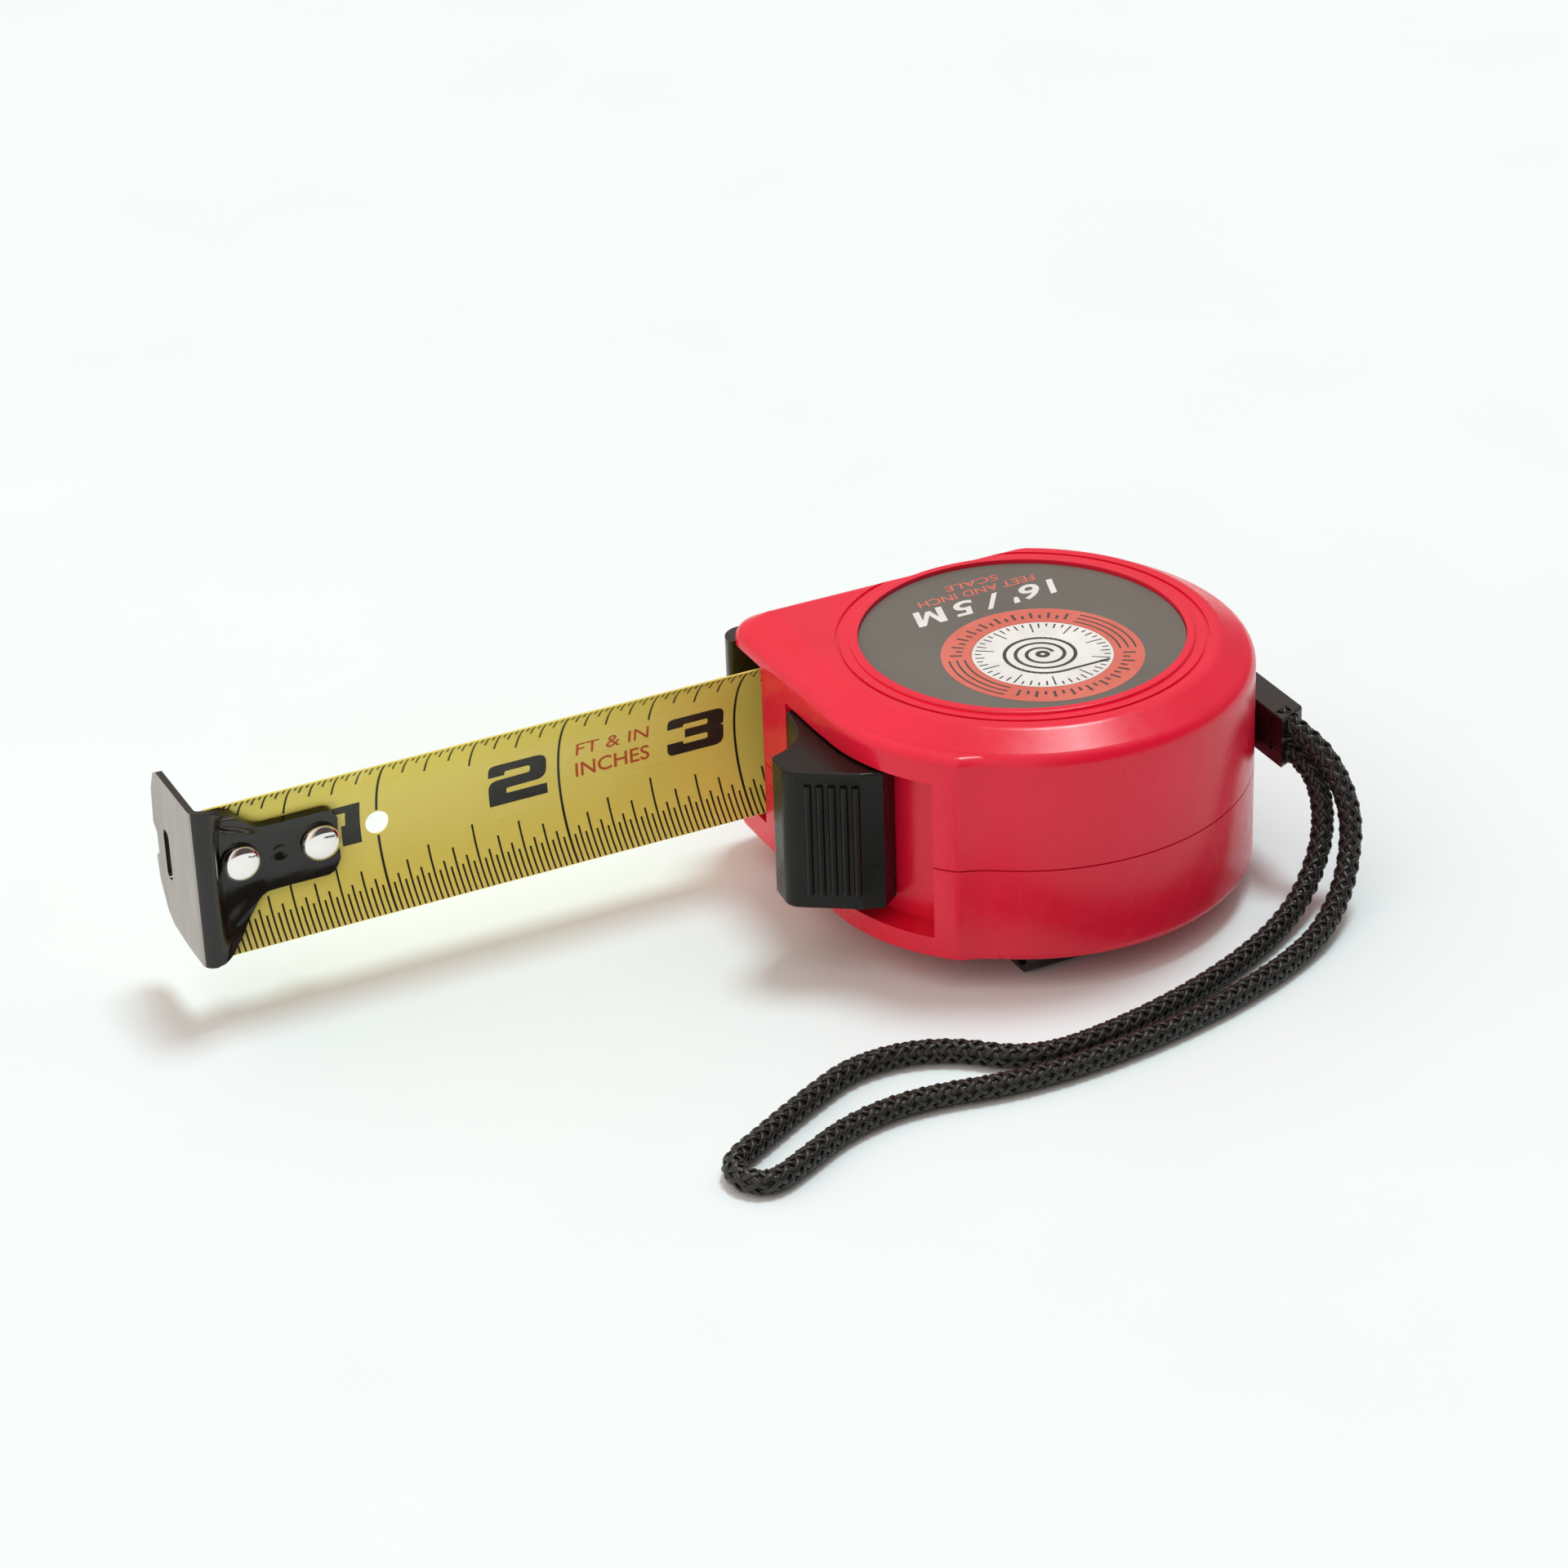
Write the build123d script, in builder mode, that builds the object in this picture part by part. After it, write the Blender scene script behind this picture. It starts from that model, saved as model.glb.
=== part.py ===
"""Pocket tape measure, 5 m by 25 mm, lying on its belt clip with 80 mm of blade drawn out.

Millimetres. The spool axis is Z and the origin is where that axis meets the resting plane.
The blade leaves towards -X, the top of the case (as held upright) is -Y and its base is +Y.
"""
from build123d import *
import math
import os

os.makedirs("parts", exist_ok=True)

# ---------------------------------------------------------------- case
CLIP_STAND = 4.0            # height of the case above the resting plane
CASE_THICK = 31.5
CASE_R = 30.2               # round part of the outline, about the spool axis
BASE_Y = 27.0               # flat base
WALL = 1.8
ROOF = 2.0
SHOULDER_IN = 4.6           # slope round the label side: its width, its drop and its two roundings
SHOULDER_DROP = 2.6
SHOULDER_EDGE = 2.2
SHOULDER_CREASE = 2.0
UNDER_EDGE = 1.2
FRONT_CORNER = 4.8          # outline corner under the mouth
REAR_CORNER = 8.0
SEAM_Z = 17.4
SEAM_WIDE = 0.2
SEAM_DEEP = 0.35
CASE_BOTTOM = CLIP_STAND
CASE_TOP = CLIP_STAND + CASE_THICK
MID_Z = CLIP_STAND + CASE_THICK / 2
FLOOR_Z = CASE_BOTTOM + WALL
CEILING_Z = CASE_TOP - ROOF
CAVITY_STEP_Z = 32.3        # the hollow is narrower above this, under the sloped shoulder
CAVITY_STEP = 1.6

# label seat on the top face
LABEL_R = 21.2
LABEL_SINK = 0.5
LABEL_THICK = 0.3
RIM_WIDE = 1.1
RIM_HIGH = 0.35
GROOVE_R = 24.0
GROOVE_WIDE = 0.5
GROOVE_DEEP = 0.3

# recess in the front for the lock button
RECESS_R = 27.4             # its floor, about the spool axis
RECESS_LOW = 7.2
RECESS_HIGH = 29.4
RECESS_END = 8.5            # its end towards the mouth
RECESS_BACK_X = -28.9
RECESS_WALL = 1.3
RECESS_INNER = (-21.9, -16.2)
RECESS_OUTER = (-25.0, -22.0)

# outward corner of the case behind the recess, and the brow that leads to it over the recess
PROW_AT = (-20.6, -20.7)
PROW_R = 2.2
PROW_FAIRING_R = 14.0       # hollow curve from the corner into the round side
BROW_START = (-29.6, 2.0)
BROW_TOP = 33.3
BROW_EDGE = 1.4
PROW_LIFT = 0.5             # it starts above the underside's rounding

# mouth
MOUTH_Y = (15.6, 23.3)
MOUTH_Z = (8.2, 31.4)
GUARD_Z = (7.6, 31.9)
GUARD_BACK_X = -26.6
GUARD_FRONT_X = -31.0

# case screws
SCREW_PLACES = ((-18.4, -18.4), (18.4, -18.4), (19.4, 17.6))
BOSS_R = 2.3
SCREW_HEAD_R = 1.9
SCREW_SHANK_R = 0.9
SCREW_HEAD_HIGH = 1.3
SCREW_HEAD_PROUD = 0.7      # the heads stand out of the underside
SCREW_LONG = 22.0

# ---------------------------------------------------------------- blade
BLADE_WIDE = 24.5           # measured flat, along the section's arc
BLADE_SECTION_R = 14.06     # gives a 21.5 mm chord and a 5 mm crown
BLADE_THICK = 0.2
BLADE_CROWN_Y = 21.9        # middle of the blade, at its crown
HOOK_FACE_X = -107.7        # inner face of the hook, the zero of the scale
HOOK_PLAY = 1.0             # slip that makes inside and outside readings agree
OUTER_RUN = 47.0            # stretch of blade from zero that goes into the case last
FLATTEN_FROM_X = -21.5
FLATTEN_TO_X = -6.0
COIL_R = 21.2
COIL_BORE_R = 14.0
COIL_Y = COIL_R + 0.2
INCH = 25.4
SECTION_CENTRE_Y = BLADE_CROWN_Y - BLADE_SECTION_R
HALF_ANGLE = math.degrees(BLADE_WIDE / 2 / BLADE_SECTION_R)

# ---------------------------------------------------------------- hook
PLATE_THICK = 1.1
PLATE_LOW_Z = 8.6
PLATE_HIGH_Z = 31.2
PLATE_OUT_Y = 32.0
PLATE_IN_Y = 15.6
TONGUE_LONG = 19.7
TONGUE_WIDE = 9.6
TONGUE_OUTER_R = BLADE_SECTION_R - 0.26
TONGUE_THICK = 0.9
RIVET_OFFSETS = (6.4, 17.2)
RIVET_HEAD_R = 2.6
RIVET_SHANK_R = 1.2
SLOT_GAP = 0.2

# ---------------------------------------------------------------- spool
DRUM_LOW = 8.5
DRUM_HIGH = 31.0
DRUM_R = 13.8
DRUM_WALL = 1.3
WEB = 1.0
HUB_BORE_R = 3.1
POST_R = 2.8
SPRING_TURNS = 9
SPRING_R = 4.2
SPRING_PITCH = 0.82
SPRING_THICK = 0.3
WASHER_R = 6.0
WASHER_THICK = 0.5

# ---------------------------------------------------------------- lock button
LOCK_LOW = 9.4
LOCK_HIGH = 29.1
LOCK_ARM_R = (24.2, 25.8)
LOCK_ARM_Z = (14.5, 25.0)
STEM_ANGLES = (184.5, 188.5)
STEM_SLOT_ANGLES = (183.9, 198.8)
PAD_R = BLADE_SECTION_R - 0.46
PAD_X = (-24.0, -21.0)
PAD_BACK_Y = 14.6
PAD_BRIDGE_Y = 18.0
PAD_HALF_WIDE = 9.0
PAD_CLEAR_HALF = 6.2        # the hook's tongue and rivets pass between the pad's feet

# ---------------------------------------------------------------- belt clip
CLIP_X = -4.0
CLIP_WIDE = 17.0
CLIP_THICK = 0.8
CLIP_BEND_Y = -22.0
CLIP_PAD_END_Y = -7.0
CLIP_ARM_END_Y = 14.0
CLIP_TIP_Y = 21.0
CLIP_TIP_Z = 2.5
CLIP_SCREW_Y = -15.0
CLIP_HEAD_R = 2.4
CLIP_ACCESS_R = 3.2

# ---------------------------------------------------------------- lanyard
LUG_X = (28.7, 33.2)
LUG_Z = (16.2, 23.4)
LUG_REAR_Y = 9.0
LUG_INNER_TIP = (28.7, -17.7)
LUG_OUTER_TIP = (33.2, -15.6)
LUG_FOOT_X = 26.0
LUG_FOOT_Y = (-4.0, 6.0)
CORD_D = 3.2
CORD_R = CORD_D / 2
CORD_REST = CORD_R + 0.05


def polar(radius, degrees):
    """A point of the plan at a radius and an angle about the spool axis."""
    return (radius * math.cos(math.radians(degrees)), radius * math.sin(math.radians(degrees)))


def case_outline(inset=0.0):
    """Outline of the case: a circle with a flat base and an upright front under the mouth."""
    radius = CASE_R - inset
    base = BASE_Y - inset
    base_x = math.sqrt(radius**2 - base**2)
    with BuildSketch() as outline:
        with BuildLine():
            ThreePointArc((-radius, 0), polar(radius, -60), (base_x, base))
            Polyline((base_x, base), (-radius, base), (-radius, 0))
        make_face()
        fillet(outline.vertices().group_by(Axis.Y)[-1].sort_by(Axis.X)[0], FRONT_CORNER - inset)
        fillet(outline.vertices().group_by(Axis.Y)[-1].sort_by(Axis.X)[-1], REAR_CORNER)
    return outline.sketch


def sector(inner, outer, start, end):
    """A part of a flat ring about the spool axis, between two angles in degrees."""
    middle = (start + end) / 2
    with BuildSketch() as ring_part:
        with BuildLine():
            ThreePointArc(polar(outer, start), polar(outer, middle), polar(outer, end))
            Line(polar(outer, end), polar(inner, end))
            ThreePointArc(polar(inner, end), polar(inner, middle), polar(inner, start))
            Line(polar(inner, start), polar(outer, start))
        make_face()
    return ring_part.sketch


def blade_section(inner_r, outer_r, half_angle):
    """A crowned strip's section in the YZ plane, about the blade's centre of curvature."""
    def at(radius, degrees):
        angle = math.radians(degrees)
        return (SECTION_CENTRE_Y + radius * math.cos(angle), MID_Z + radius * math.sin(angle))

    with BuildSketch() as section:
        with BuildLine():
            ThreePointArc(at(outer_r, -half_angle), at(outer_r, 0), at(outer_r, half_angle))
            Line(at(outer_r, half_angle), at(inner_r, half_angle))
            ThreePointArc(at(inner_r, half_angle), at(inner_r, 0), at(inner_r, -half_angle))
            Line(at(inner_r, -half_angle), at(outer_r, -half_angle))
        make_face()
    return section.sketch


# ================================================================ case shells
cavity_outline = case_outline(WALL)
with BuildSketch() as cavity_plan:
    add(cavity_outline)
    add(sector(RECESS_R - RECESS_WALL, CASE_R + 4, 176, 226), mode=Mode.SUBTRACT)
    with Locations((-CASE_R, RECESS_END / 2)):
        Rectangle(2 * (CASE_R + RECESS_BACK_X + RECESS_WALL), RECESS_END + 3, mode=Mode.SUBTRACT)

with BuildSketch() as recess_plan:
    with BuildLine():
        Polyline((-CASE_R - 12, RECESS_END), (RECESS_BACK_X, RECESS_END), (RECESS_BACK_X, 1.0),
                 polar(RECESS_R, 182))
        ThreePointArc(polar(RECESS_R, 182), polar(RECESS_R, 198), RECESS_INNER)
        Polyline(RECESS_INNER, RECESS_OUTER, (-CASE_R - 12, -26), (-CASE_R - 12, RECESS_END))
    make_face()

# the fairing's arc touches the round side and the prow's own rounding from outside
PROW_OUT = math.hypot(*PROW_AT)
PROW_ANGLE = math.degrees(math.atan2(PROW_AT[1], PROW_AT[0]))
fairing_reach = CASE_R + PROW_FAIRING_R
fairing_gap = PROW_R + PROW_FAIRING_R
fairing_cosine = (fairing_reach**2 + PROW_OUT**2 - fairing_gap**2) / (2 * fairing_reach * PROW_OUT)
FAIRING_ANGLE = PROW_ANGLE + math.degrees(math.acos(fairing_cosine))
fairing_centre = Vector(*polar(fairing_reach, FAIRING_ANGLE))
prow_centre = Vector(*PROW_AT)
fairing_start = Vector(*polar(CASE_R, FAIRING_ANGLE))
fairing_end = prow_centre + (fairing_centre - prow_centre).normalized() * PROW_R
fairing_inward = (fairing_centre - (fairing_start + fairing_end) / 2).normalized()
fairing_middle = fairing_centre - fairing_inward * PROW_FAIRING_R
prow_tip = Vector(*polar(PROW_OUT + PROW_R, PROW_ANGLE))
to_fairing = fairing_end - prow_centre
fairing_turn = math.degrees(math.atan2(to_fairing.Y, to_fairing.X))
prow_side = prow_centre + Vector(*polar(PROW_R, (PROW_ANGLE + fairing_turn) / 2))
brow_tangent = (math.sin(math.radians(PROW_ANGLE)), -math.cos(math.radians(PROW_ANGLE)))

with BuildPart() as prow:
    with BuildSketch(Plane.XY.offset(CASE_BOTTOM + PROW_LIFT)):
        with BuildLine():
            ThreePointArc(fairing_start, fairing_middle, fairing_end)
            ThreePointArc(fairing_end, prow_side, prow_tip)
            TangentArc(prow_tip, BROW_START, tangent=brow_tangent)
            Polyline(BROW_START, (-20, 2), (-12, -18), fairing_start)
        make_face()
    extrude(amount=BROW_TOP - CASE_BOTTOM - PROW_LIFT)
    fillet(prow.edges().group_by(Axis.Z)[-1].filter_by(GeomType.CIRCLE), BROW_EDGE)

with BuildPart() as whole_case:
    with BuildSketch(Plane.XY.offset(CASE_BOTTOM)):
        add(case_outline())
    extrude(amount=CASE_THICK)
    label_side = whole_case.faces().sort_by(Axis.Z)[-1]
    chamfer(label_side.edges(), length=SHOULDER_IN, length2=SHOULDER_DROP, reference=label_side)
    slope_foot = CASE_TOP - SHOULDER_DROP
    foot_edges = whole_case.edges().filter_by_position(Axis.Z, slope_foot - 0.01, slope_foot + 0.01)
    fillet(foot_edges, SHOULDER_EDGE)
    fillet(whole_case.edges().group_by(Axis.Z)[-1], SHOULDER_CREASE)
    fillet(whole_case.edges().group_by(Axis.Z)[0], UNDER_EDGE)
    add(prow.part)
    # label seat, its rim and the groove round it
    with BuildSketch(Plane.XY.offset(CASE_TOP)):
        Circle(LABEL_R + 0.1 + RIM_WIDE)
    extrude(amount=RIM_HIGH)
    fillet(whole_case.edges().group_by(Axis.Z)[-1], RIM_HIGH * 0.8)
    with BuildSketch(Plane.XY.offset(CASE_TOP - LABEL_SINK)):
        Circle(LABEL_R + 0.1)
    extrude(amount=LABEL_SINK + RIM_HIGH, mode=Mode.SUBTRACT)
    with BuildSketch(Plane.XY.offset(CASE_TOP - GROOVE_DEEP)):
        Circle(GROOVE_R + GROOVE_WIDE / 2)
        Circle(GROOVE_R - GROOVE_WIDE / 2, mode=Mode.SUBTRACT)
    extrude(amount=GROOVE_DEEP + 0.2, mode=Mode.SUBTRACT)
    # hollow inside
    with BuildSketch(Plane.XY.offset(FLOOR_Z)):
        add(cavity_plan.sketch)
    extrude(amount=CAVITY_STEP_Z - FLOOR_Z, mode=Mode.SUBTRACT)
    with BuildSketch(Plane.XY.offset(CAVITY_STEP_Z - 0.1)):
        add(cavity_plan.sketch)
        offset(amount=-CAVITY_STEP, mode=Mode.REPLACE)
    extrude(amount=CEILING_Z - CAVITY_STEP_Z + 0.1, mode=Mode.SUBTRACT)
    # recess for the lock button
    with BuildSketch(Plane.XY.offset(RECESS_LOW)):
        add(recess_plan.sketch)
    extrude(amount=RECESS_HIGH - RECESS_LOW, mode=Mode.SUBTRACT)
    with BuildSketch(Plane.XY.offset(LOCK_ARM_Z[0] + 1.0)):
        add(sector(RECESS_R - 2.4, RECESS_R + 2.4, *STEM_SLOT_ANGLES))
    extrude(amount=LOCK_ARM_Z[1] - LOCK_ARM_Z[0] - 2.0, mode=Mode.SUBTRACT)
    # mouth, and the seat of the black nose guard under it
    with Locations((-CASE_R, sum(MOUTH_Y) / 2, sum(MOUTH_Z) / 2)):
        Box(9, MOUTH_Y[1] - MOUTH_Y[0], MOUTH_Z[1] - MOUTH_Z[0], mode=Mode.SUBTRACT)
    with BuildSketch(Plane.XY.offset(GUARD_Z[0])):
        with Locations((GUARD_BACK_X - 5, MOUTH_Y[1] + 5)):
            Rectangle(10, 10)
    extrude(amount=GUARD_Z[1] - GUARD_Z[0], mode=Mode.SUBTRACT)
    # screw bosses
    with BuildSketch(Plane.XY.offset(FLOOR_Z - 0.5)):
        with Locations(*SCREW_PLACES):
            Circle(BOSS_R)
    extrude(amount=CEILING_Z - FLOOR_Z + 1.0)
    # raised rings that carry the spool's washers
    for ring_z in (FLOOR_Z - 0.2, CEILING_Z - 1.3):
        with BuildSketch(Plane.XY.offset(ring_z)):
            Circle(WASHER_R)
        extrude(amount=1.5)
    # boss of the belt clip's screw
    with BuildSketch(Plane.XY.offset(FLOOR_Z - 0.2)):
        with Locations((CLIP_X, CLIP_SCREW_Y)):
            Circle(2.6)
    extrude(amount=1.4)
    # seat of the lanyard lug, clamped between the shells
    with BuildSketch(Plane.XY.offset(LUG_Z[0])):
        with Locations(((LUG_X[0] + 40) / 2, 0)):
            Rectangle(40 - LUG_X[0], 40)
        with Locations(((LUG_FOOT_X + 40) / 2, sum(LUG_FOOT_Y) / 2)):
            Rectangle(40 - LUG_FOOT_X, LUG_FOOT_Y[1] - LUG_FOOT_Y[0])
    extrude(amount=LUG_Z[1] - LUG_Z[0], mode=Mode.SUBTRACT)
    # fine groove along the joint of the two shells
    with BuildSketch(Plane.XY.offset(SEAM_Z - SEAM_WIDE / 2)):
        Rectangle(90, 90)
        add(case_outline(SEAM_DEEP), mode=Mode.SUBTRACT)
    extrude(amount=SEAM_WIDE, mode=Mode.SUBTRACT)
    # holes: spool post, clip screw, centre screw, case screws
    with BuildSketch(Plane.XY.offset(CASE_BOTTOM + 0.9)):
        Circle(POST_R + 0.02)
    extrude(amount=CEILING_Z - CASE_BOTTOM - 0.9, mode=Mode.SUBTRACT)
    with BuildSketch(Plane.XY.offset(CEILING_Z - 0.1)):
        Circle(SCREW_SHANK_R + 0.3)
    extrude(amount=3, mode=Mode.SUBTRACT)
    with BuildSketch(Plane.XY.offset(CASE_TOP - LABEL_SINK - 0.8)):
        Circle(SCREW_HEAD_R + 0.3)
    extrude(amount=1.0, mode=Mode.SUBTRACT)
    with BuildSketch(Plane.XY.offset(CASE_BOTTOM - 0.1)):
        with Locations((CLIP_X, CLIP_SCREW_Y)):
            Circle(SCREW_SHANK_R)
    extrude(amount=2.8, mode=Mode.SUBTRACT)
    with BuildSketch(Plane.XY.offset(CASE_BOTTOM - 0.1)):
        with Locations(*SCREW_PLACES):
            Circle(SCREW_HEAD_R + 0.15)
    extrude(amount=SCREW_HEAD_HIGH - SCREW_HEAD_PROUD + 0.15, mode=Mode.SUBTRACT)
    with BuildSketch(Plane.XY.offset(CASE_BOTTOM)):
        with Locations(*SCREW_PLACES):
            Circle(SCREW_SHANK_R)
    extrude(amount=SCREW_LONG + SCREW_HEAD_HIGH + 0.6, mode=Mode.SUBTRACT)

with BuildPart() as case_top_cover:
    add(whole_case.part)
    split(bisect_by=Plane.XY.offset(SEAM_Z), keep=Keep.TOP)
case_top_cover.part.label = "case_top_cover"
export_step(case_top_cover.part, "parts/case_top_cover.step")

with BuildPart() as case_bottom_cover:
    add(whole_case.part)
    split(bisect_by=Plane.XY.offset(SEAM_Z), keep=Keep.BOTTOM)
case_bottom_cover.part.label = "case_bottom_cover"
export_step(case_bottom_cover.part, "parts/case_bottom_cover.step")

with BuildPart() as label_disc:
    with BuildSketch(Plane.XY.offset(CASE_TOP - LABEL_SINK)):
        Circle(LABEL_R)
    extrude(amount=LABEL_THICK)
label_disc.part.label = "label_disc"
export_step(label_disc.part, "parts/label_disc.step")

with BuildPart() as nose_guard:
    with BuildSketch(Plane.XY.offset(GUARD_Z[0] + 0.05)):
        with Locations(((GUARD_FRONT_X + GUARD_BACK_X) / 2, (MOUTH_Y[1] + BASE_Y) / 2)):
            Rectangle(GUARD_BACK_X - GUARD_FRONT_X, BASE_Y - MOUTH_Y[1])
    extrude(amount=GUARD_Z[1] - GUARD_Z[0] - 0.1)
    fillet(nose_guard.edges().filter_by(Axis.Z).group_by(Axis.X)[0].sort_by(Axis.Y)[-1], 3.0)
    fillet(nose_guard.edges().filter_by(Axis.Z).group_by(Axis.Y)[0], 0.6)
nose_guard.part.label = "nose_guard"
export_step(nose_guard.part, "parts/nose_guard.step")

with BuildPart() as case_screws:
    with BuildSketch(Plane.XY.offset(CASE_BOTTOM - SCREW_HEAD_PROUD)):
        with Locations(*SCREW_PLACES):
            Circle(SCREW_HEAD_R)
    extrude(amount=SCREW_HEAD_HIGH)
    fillet(case_screws.edges().group_by(Axis.Z)[0], 0.4)
    with BuildSketch(Plane.XY.offset(CASE_BOTTOM - SCREW_HEAD_PROUD + SCREW_HEAD_HIGH)):
        with Locations(*SCREW_PLACES):
            Circle(SCREW_SHANK_R - 0.02)
    extrude(amount=SCREW_LONG)
    with BuildSketch(Plane.XY.offset(CASE_BOTTOM - SCREW_HEAD_PROUD)):
        with Locations(*SCREW_PLACES):
            Rectangle(2.4, 0.6)
            Rectangle(0.6, 2.4)
    extrude(amount=0.8, mode=Mode.SUBTRACT)
case_screws.part.label = "case_screws"
export_step(case_screws.part, "parts/case_screws.step")

# ================================================================ blade
with BuildPart() as blade_outer_run:
    with BuildSketch(Plane.YZ.offset(HOOK_FACE_X + HOOK_PLAY)):
        add(blade_section(BLADE_SECTION_R - BLADE_THICK / 2, BLADE_SECTION_R + BLADE_THICK / 2,
                          HALF_ANGLE))
    extrude(amount=OUTER_RUN - HOOK_PLAY)
    with BuildSketch(Plane.XZ.offset(-BLADE_CROWN_Y - 2)):
        with Locations((HOOK_FACE_X + INCH, MID_Z)):
            Circle(1.6)
        with Locations(*[(HOOK_FACE_X + from_zero, MID_Z) for from_zero in RIVET_OFFSETS]):
            Circle(RIVET_SHANK_R + 0.01)
    extrude(amount=4, mode=Mode.SUBTRACT)
blade_outer_run.part.label = "blade_outer_run"
export_step(blade_outer_run.part, "parts/blade_outer_run.step")


def flattened_section(share):
    """The blade's section on its way from crowned (0) to flat against the coil (1)."""
    crown_y = BLADE_CROWN_Y + (COIL_Y - BLADE_CROWN_Y) * share
    half = BLADE_WIDE / 2
    thick = BLADE_THICK / 2
    radius = BLADE_SECTION_R / max(1 - share, 0.02)
    angle = half / radius

    def at(outward, turn):
        reach = radius + outward
        return (crown_y - radius + reach * math.cos(turn), MID_Z + reach * math.sin(turn))

    with BuildSketch() as section:
        with BuildLine():
            ThreePointArc(at(thick, -angle), at(thick, 0), at(thick, angle))
            Line(at(thick, angle), at(-thick, angle))
            ThreePointArc(at(-thick, angle), at(-thick, 0), at(-thick, -angle))
            Line(at(-thick, -angle), at(thick, -angle))
        make_face()
    return section.sketch


with BuildPart() as blade_inner_run:
    inner_start = HOOK_FACE_X + OUTER_RUN
    with BuildSketch(Plane.YZ.offset(inner_start)):
        add(flattened_section(0))
    extrude(amount=FLATTEN_FROM_X - inner_start)
    for step in range(5):
        share = step / 4
        station = FLATTEN_FROM_X + (FLATTEN_TO_X - FLATTEN_FROM_X) * share
        with BuildSketch(Plane.YZ.offset(station)):
            add(flattened_section(share))
    loft(ruled=True)
    with BuildSketch(Plane.YZ.offset(FLATTEN_TO_X)):
        add(flattened_section(1))
    extrude(amount=-FLATTEN_TO_X)
blade_inner_run.part.label = "blade_inner_run"
export_step(blade_inner_run.part, "parts/blade_inner_run.step")

with BuildPart() as blade_coil:
    with BuildSketch(Plane.XY.offset(MID_Z - BLADE_WIDE / 2)):
        Circle(COIL_R)
        Circle(COIL_BORE_R, mode=Mode.SUBTRACT)
    extrude(amount=BLADE_WIDE)
blade_coil.part.label = "blade_coil"
export_step(blade_coil.part, "parts/blade_coil.step")

# ================================================================ hook
with BuildPart() as end_hook:
    # curved tongue on the printed side of the blade, spread to full width at the plate
    with BuildSketch(Plane.YZ.offset(HOOK_FACE_X - PLATE_THICK / 2)):
        add(blade_section(TONGUE_OUTER_R - TONGUE_THICK, TONGUE_OUTER_R, HALF_ANGLE - 1))
    extrude(amount=TONGUE_LONG + PLATE_THICK / 2)
    tongue_end = HOOK_FACE_X + TONGUE_LONG
    half_tongue = TONGUE_WIDE / 2
    with BuildSketch(Plane.XZ) as tongue_plan:
        with BuildLine():
            Polyline((HOOK_FACE_X - 1, PLATE_LOW_Z), (HOOK_FACE_X + 4.6, PLATE_LOW_Z + 0.6))
            Spline((HOOK_FACE_X + 4.6, PLATE_LOW_Z + 0.6), (HOOK_FACE_X + 8.2, MID_Z - half_tongue - 1),
                   (HOOK_FACE_X + 10.4, MID_Z - half_tongue))
            Polyline((HOOK_FACE_X + 10.4, MID_Z - half_tongue), (tongue_end, MID_Z - half_tongue),
                     (tongue_end, MID_Z + half_tongue), (HOOK_FACE_X + 10.4, MID_Z + half_tongue))
            Spline((HOOK_FACE_X + 10.4, MID_Z + half_tongue), (HOOK_FACE_X + 8.2, MID_Z + half_tongue + 1),
                   (HOOK_FACE_X + 4.6, PLATE_HIGH_Z - 0.9))
            Polyline((HOOK_FACE_X + 4.6, PLATE_HIGH_Z - 0.9), (HOOK_FACE_X - 1, PLATE_HIGH_Z),
                     (HOOK_FACE_X - 1, PLATE_LOW_Z))
        make_face()
        fillet(tongue_plan.vertices().group_by(Axis.X)[-1], 1.6)
    extrude(amount=-BLADE_CROWN_Y - 5, mode=Mode.INTERSECT)
    # plate with its nail slot and notched outer edge
    with BuildSketch(Plane.YZ.offset(HOOK_FACE_X - PLATE_THICK)) as plate:
        with BuildLine():
            Polyline((PLATE_IN_Y, PLATE_LOW_Z + 2.4), (PLATE_IN_Y + 2, PLATE_LOW_Z),
                     (PLATE_OUT_Y - 6, PLATE_LOW_Z), (PLATE_OUT_Y, PLATE_LOW_Z + 4.5),
                     (PLATE_OUT_Y, MID_Z - 3.6), (PLATE_OUT_Y - 1.6, MID_Z - 1.8),
                     (PLATE_OUT_Y - 1.6, MID_Z + 1.8), (PLATE_OUT_Y, MID_Z + 3.6),
                     (PLATE_OUT_Y, PLATE_HIGH_Z - 3.5), (PLATE_OUT_Y - 4, PLATE_HIGH_Z),
                     (PLATE_IN_Y + 2, PLATE_HIGH_Z), (PLATE_IN_Y, PLATE_HIGH_Z - 2.4), close=True)
        make_face()
        fillet(plate.vertices(), 0.7)
        with Locations((PLATE_OUT_Y - 5, MID_Z)):
            SlotOverall(7.2, 1.3, rotation=90, mode=Mode.SUBTRACT)
    extrude(amount=PLATE_THICK)
    slot_middles = [(HOOK_FACE_X + from_zero - HOOK_PLAY / 2, MID_Z) for from_zero in RIVET_OFFSETS]
    with BuildSketch(Plane.XZ.offset(-BLADE_CROWN_Y - 2)):
        with Locations(*slot_middles):
            SlotOverall(2 * (RIVET_SHANK_R + SLOT_GAP) + HOOK_PLAY, 2 * (RIVET_SHANK_R + SLOT_GAP))
    extrude(amount=5, mode=Mode.SUBTRACT)
    with BuildSketch(Plane.XZ.offset(-BLADE_CROWN_Y - 2)):
        with Locations((HOOK_FACE_X + sum(RIVET_OFFSETS) / 2, MID_Z)):
            Circle(0.9)
    extrude(amount=5, mode=Mode.SUBTRACT)
end_hook.part.label = "end_hook"
export_step(end_hook.part, "parts/end_hook.step")

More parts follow.
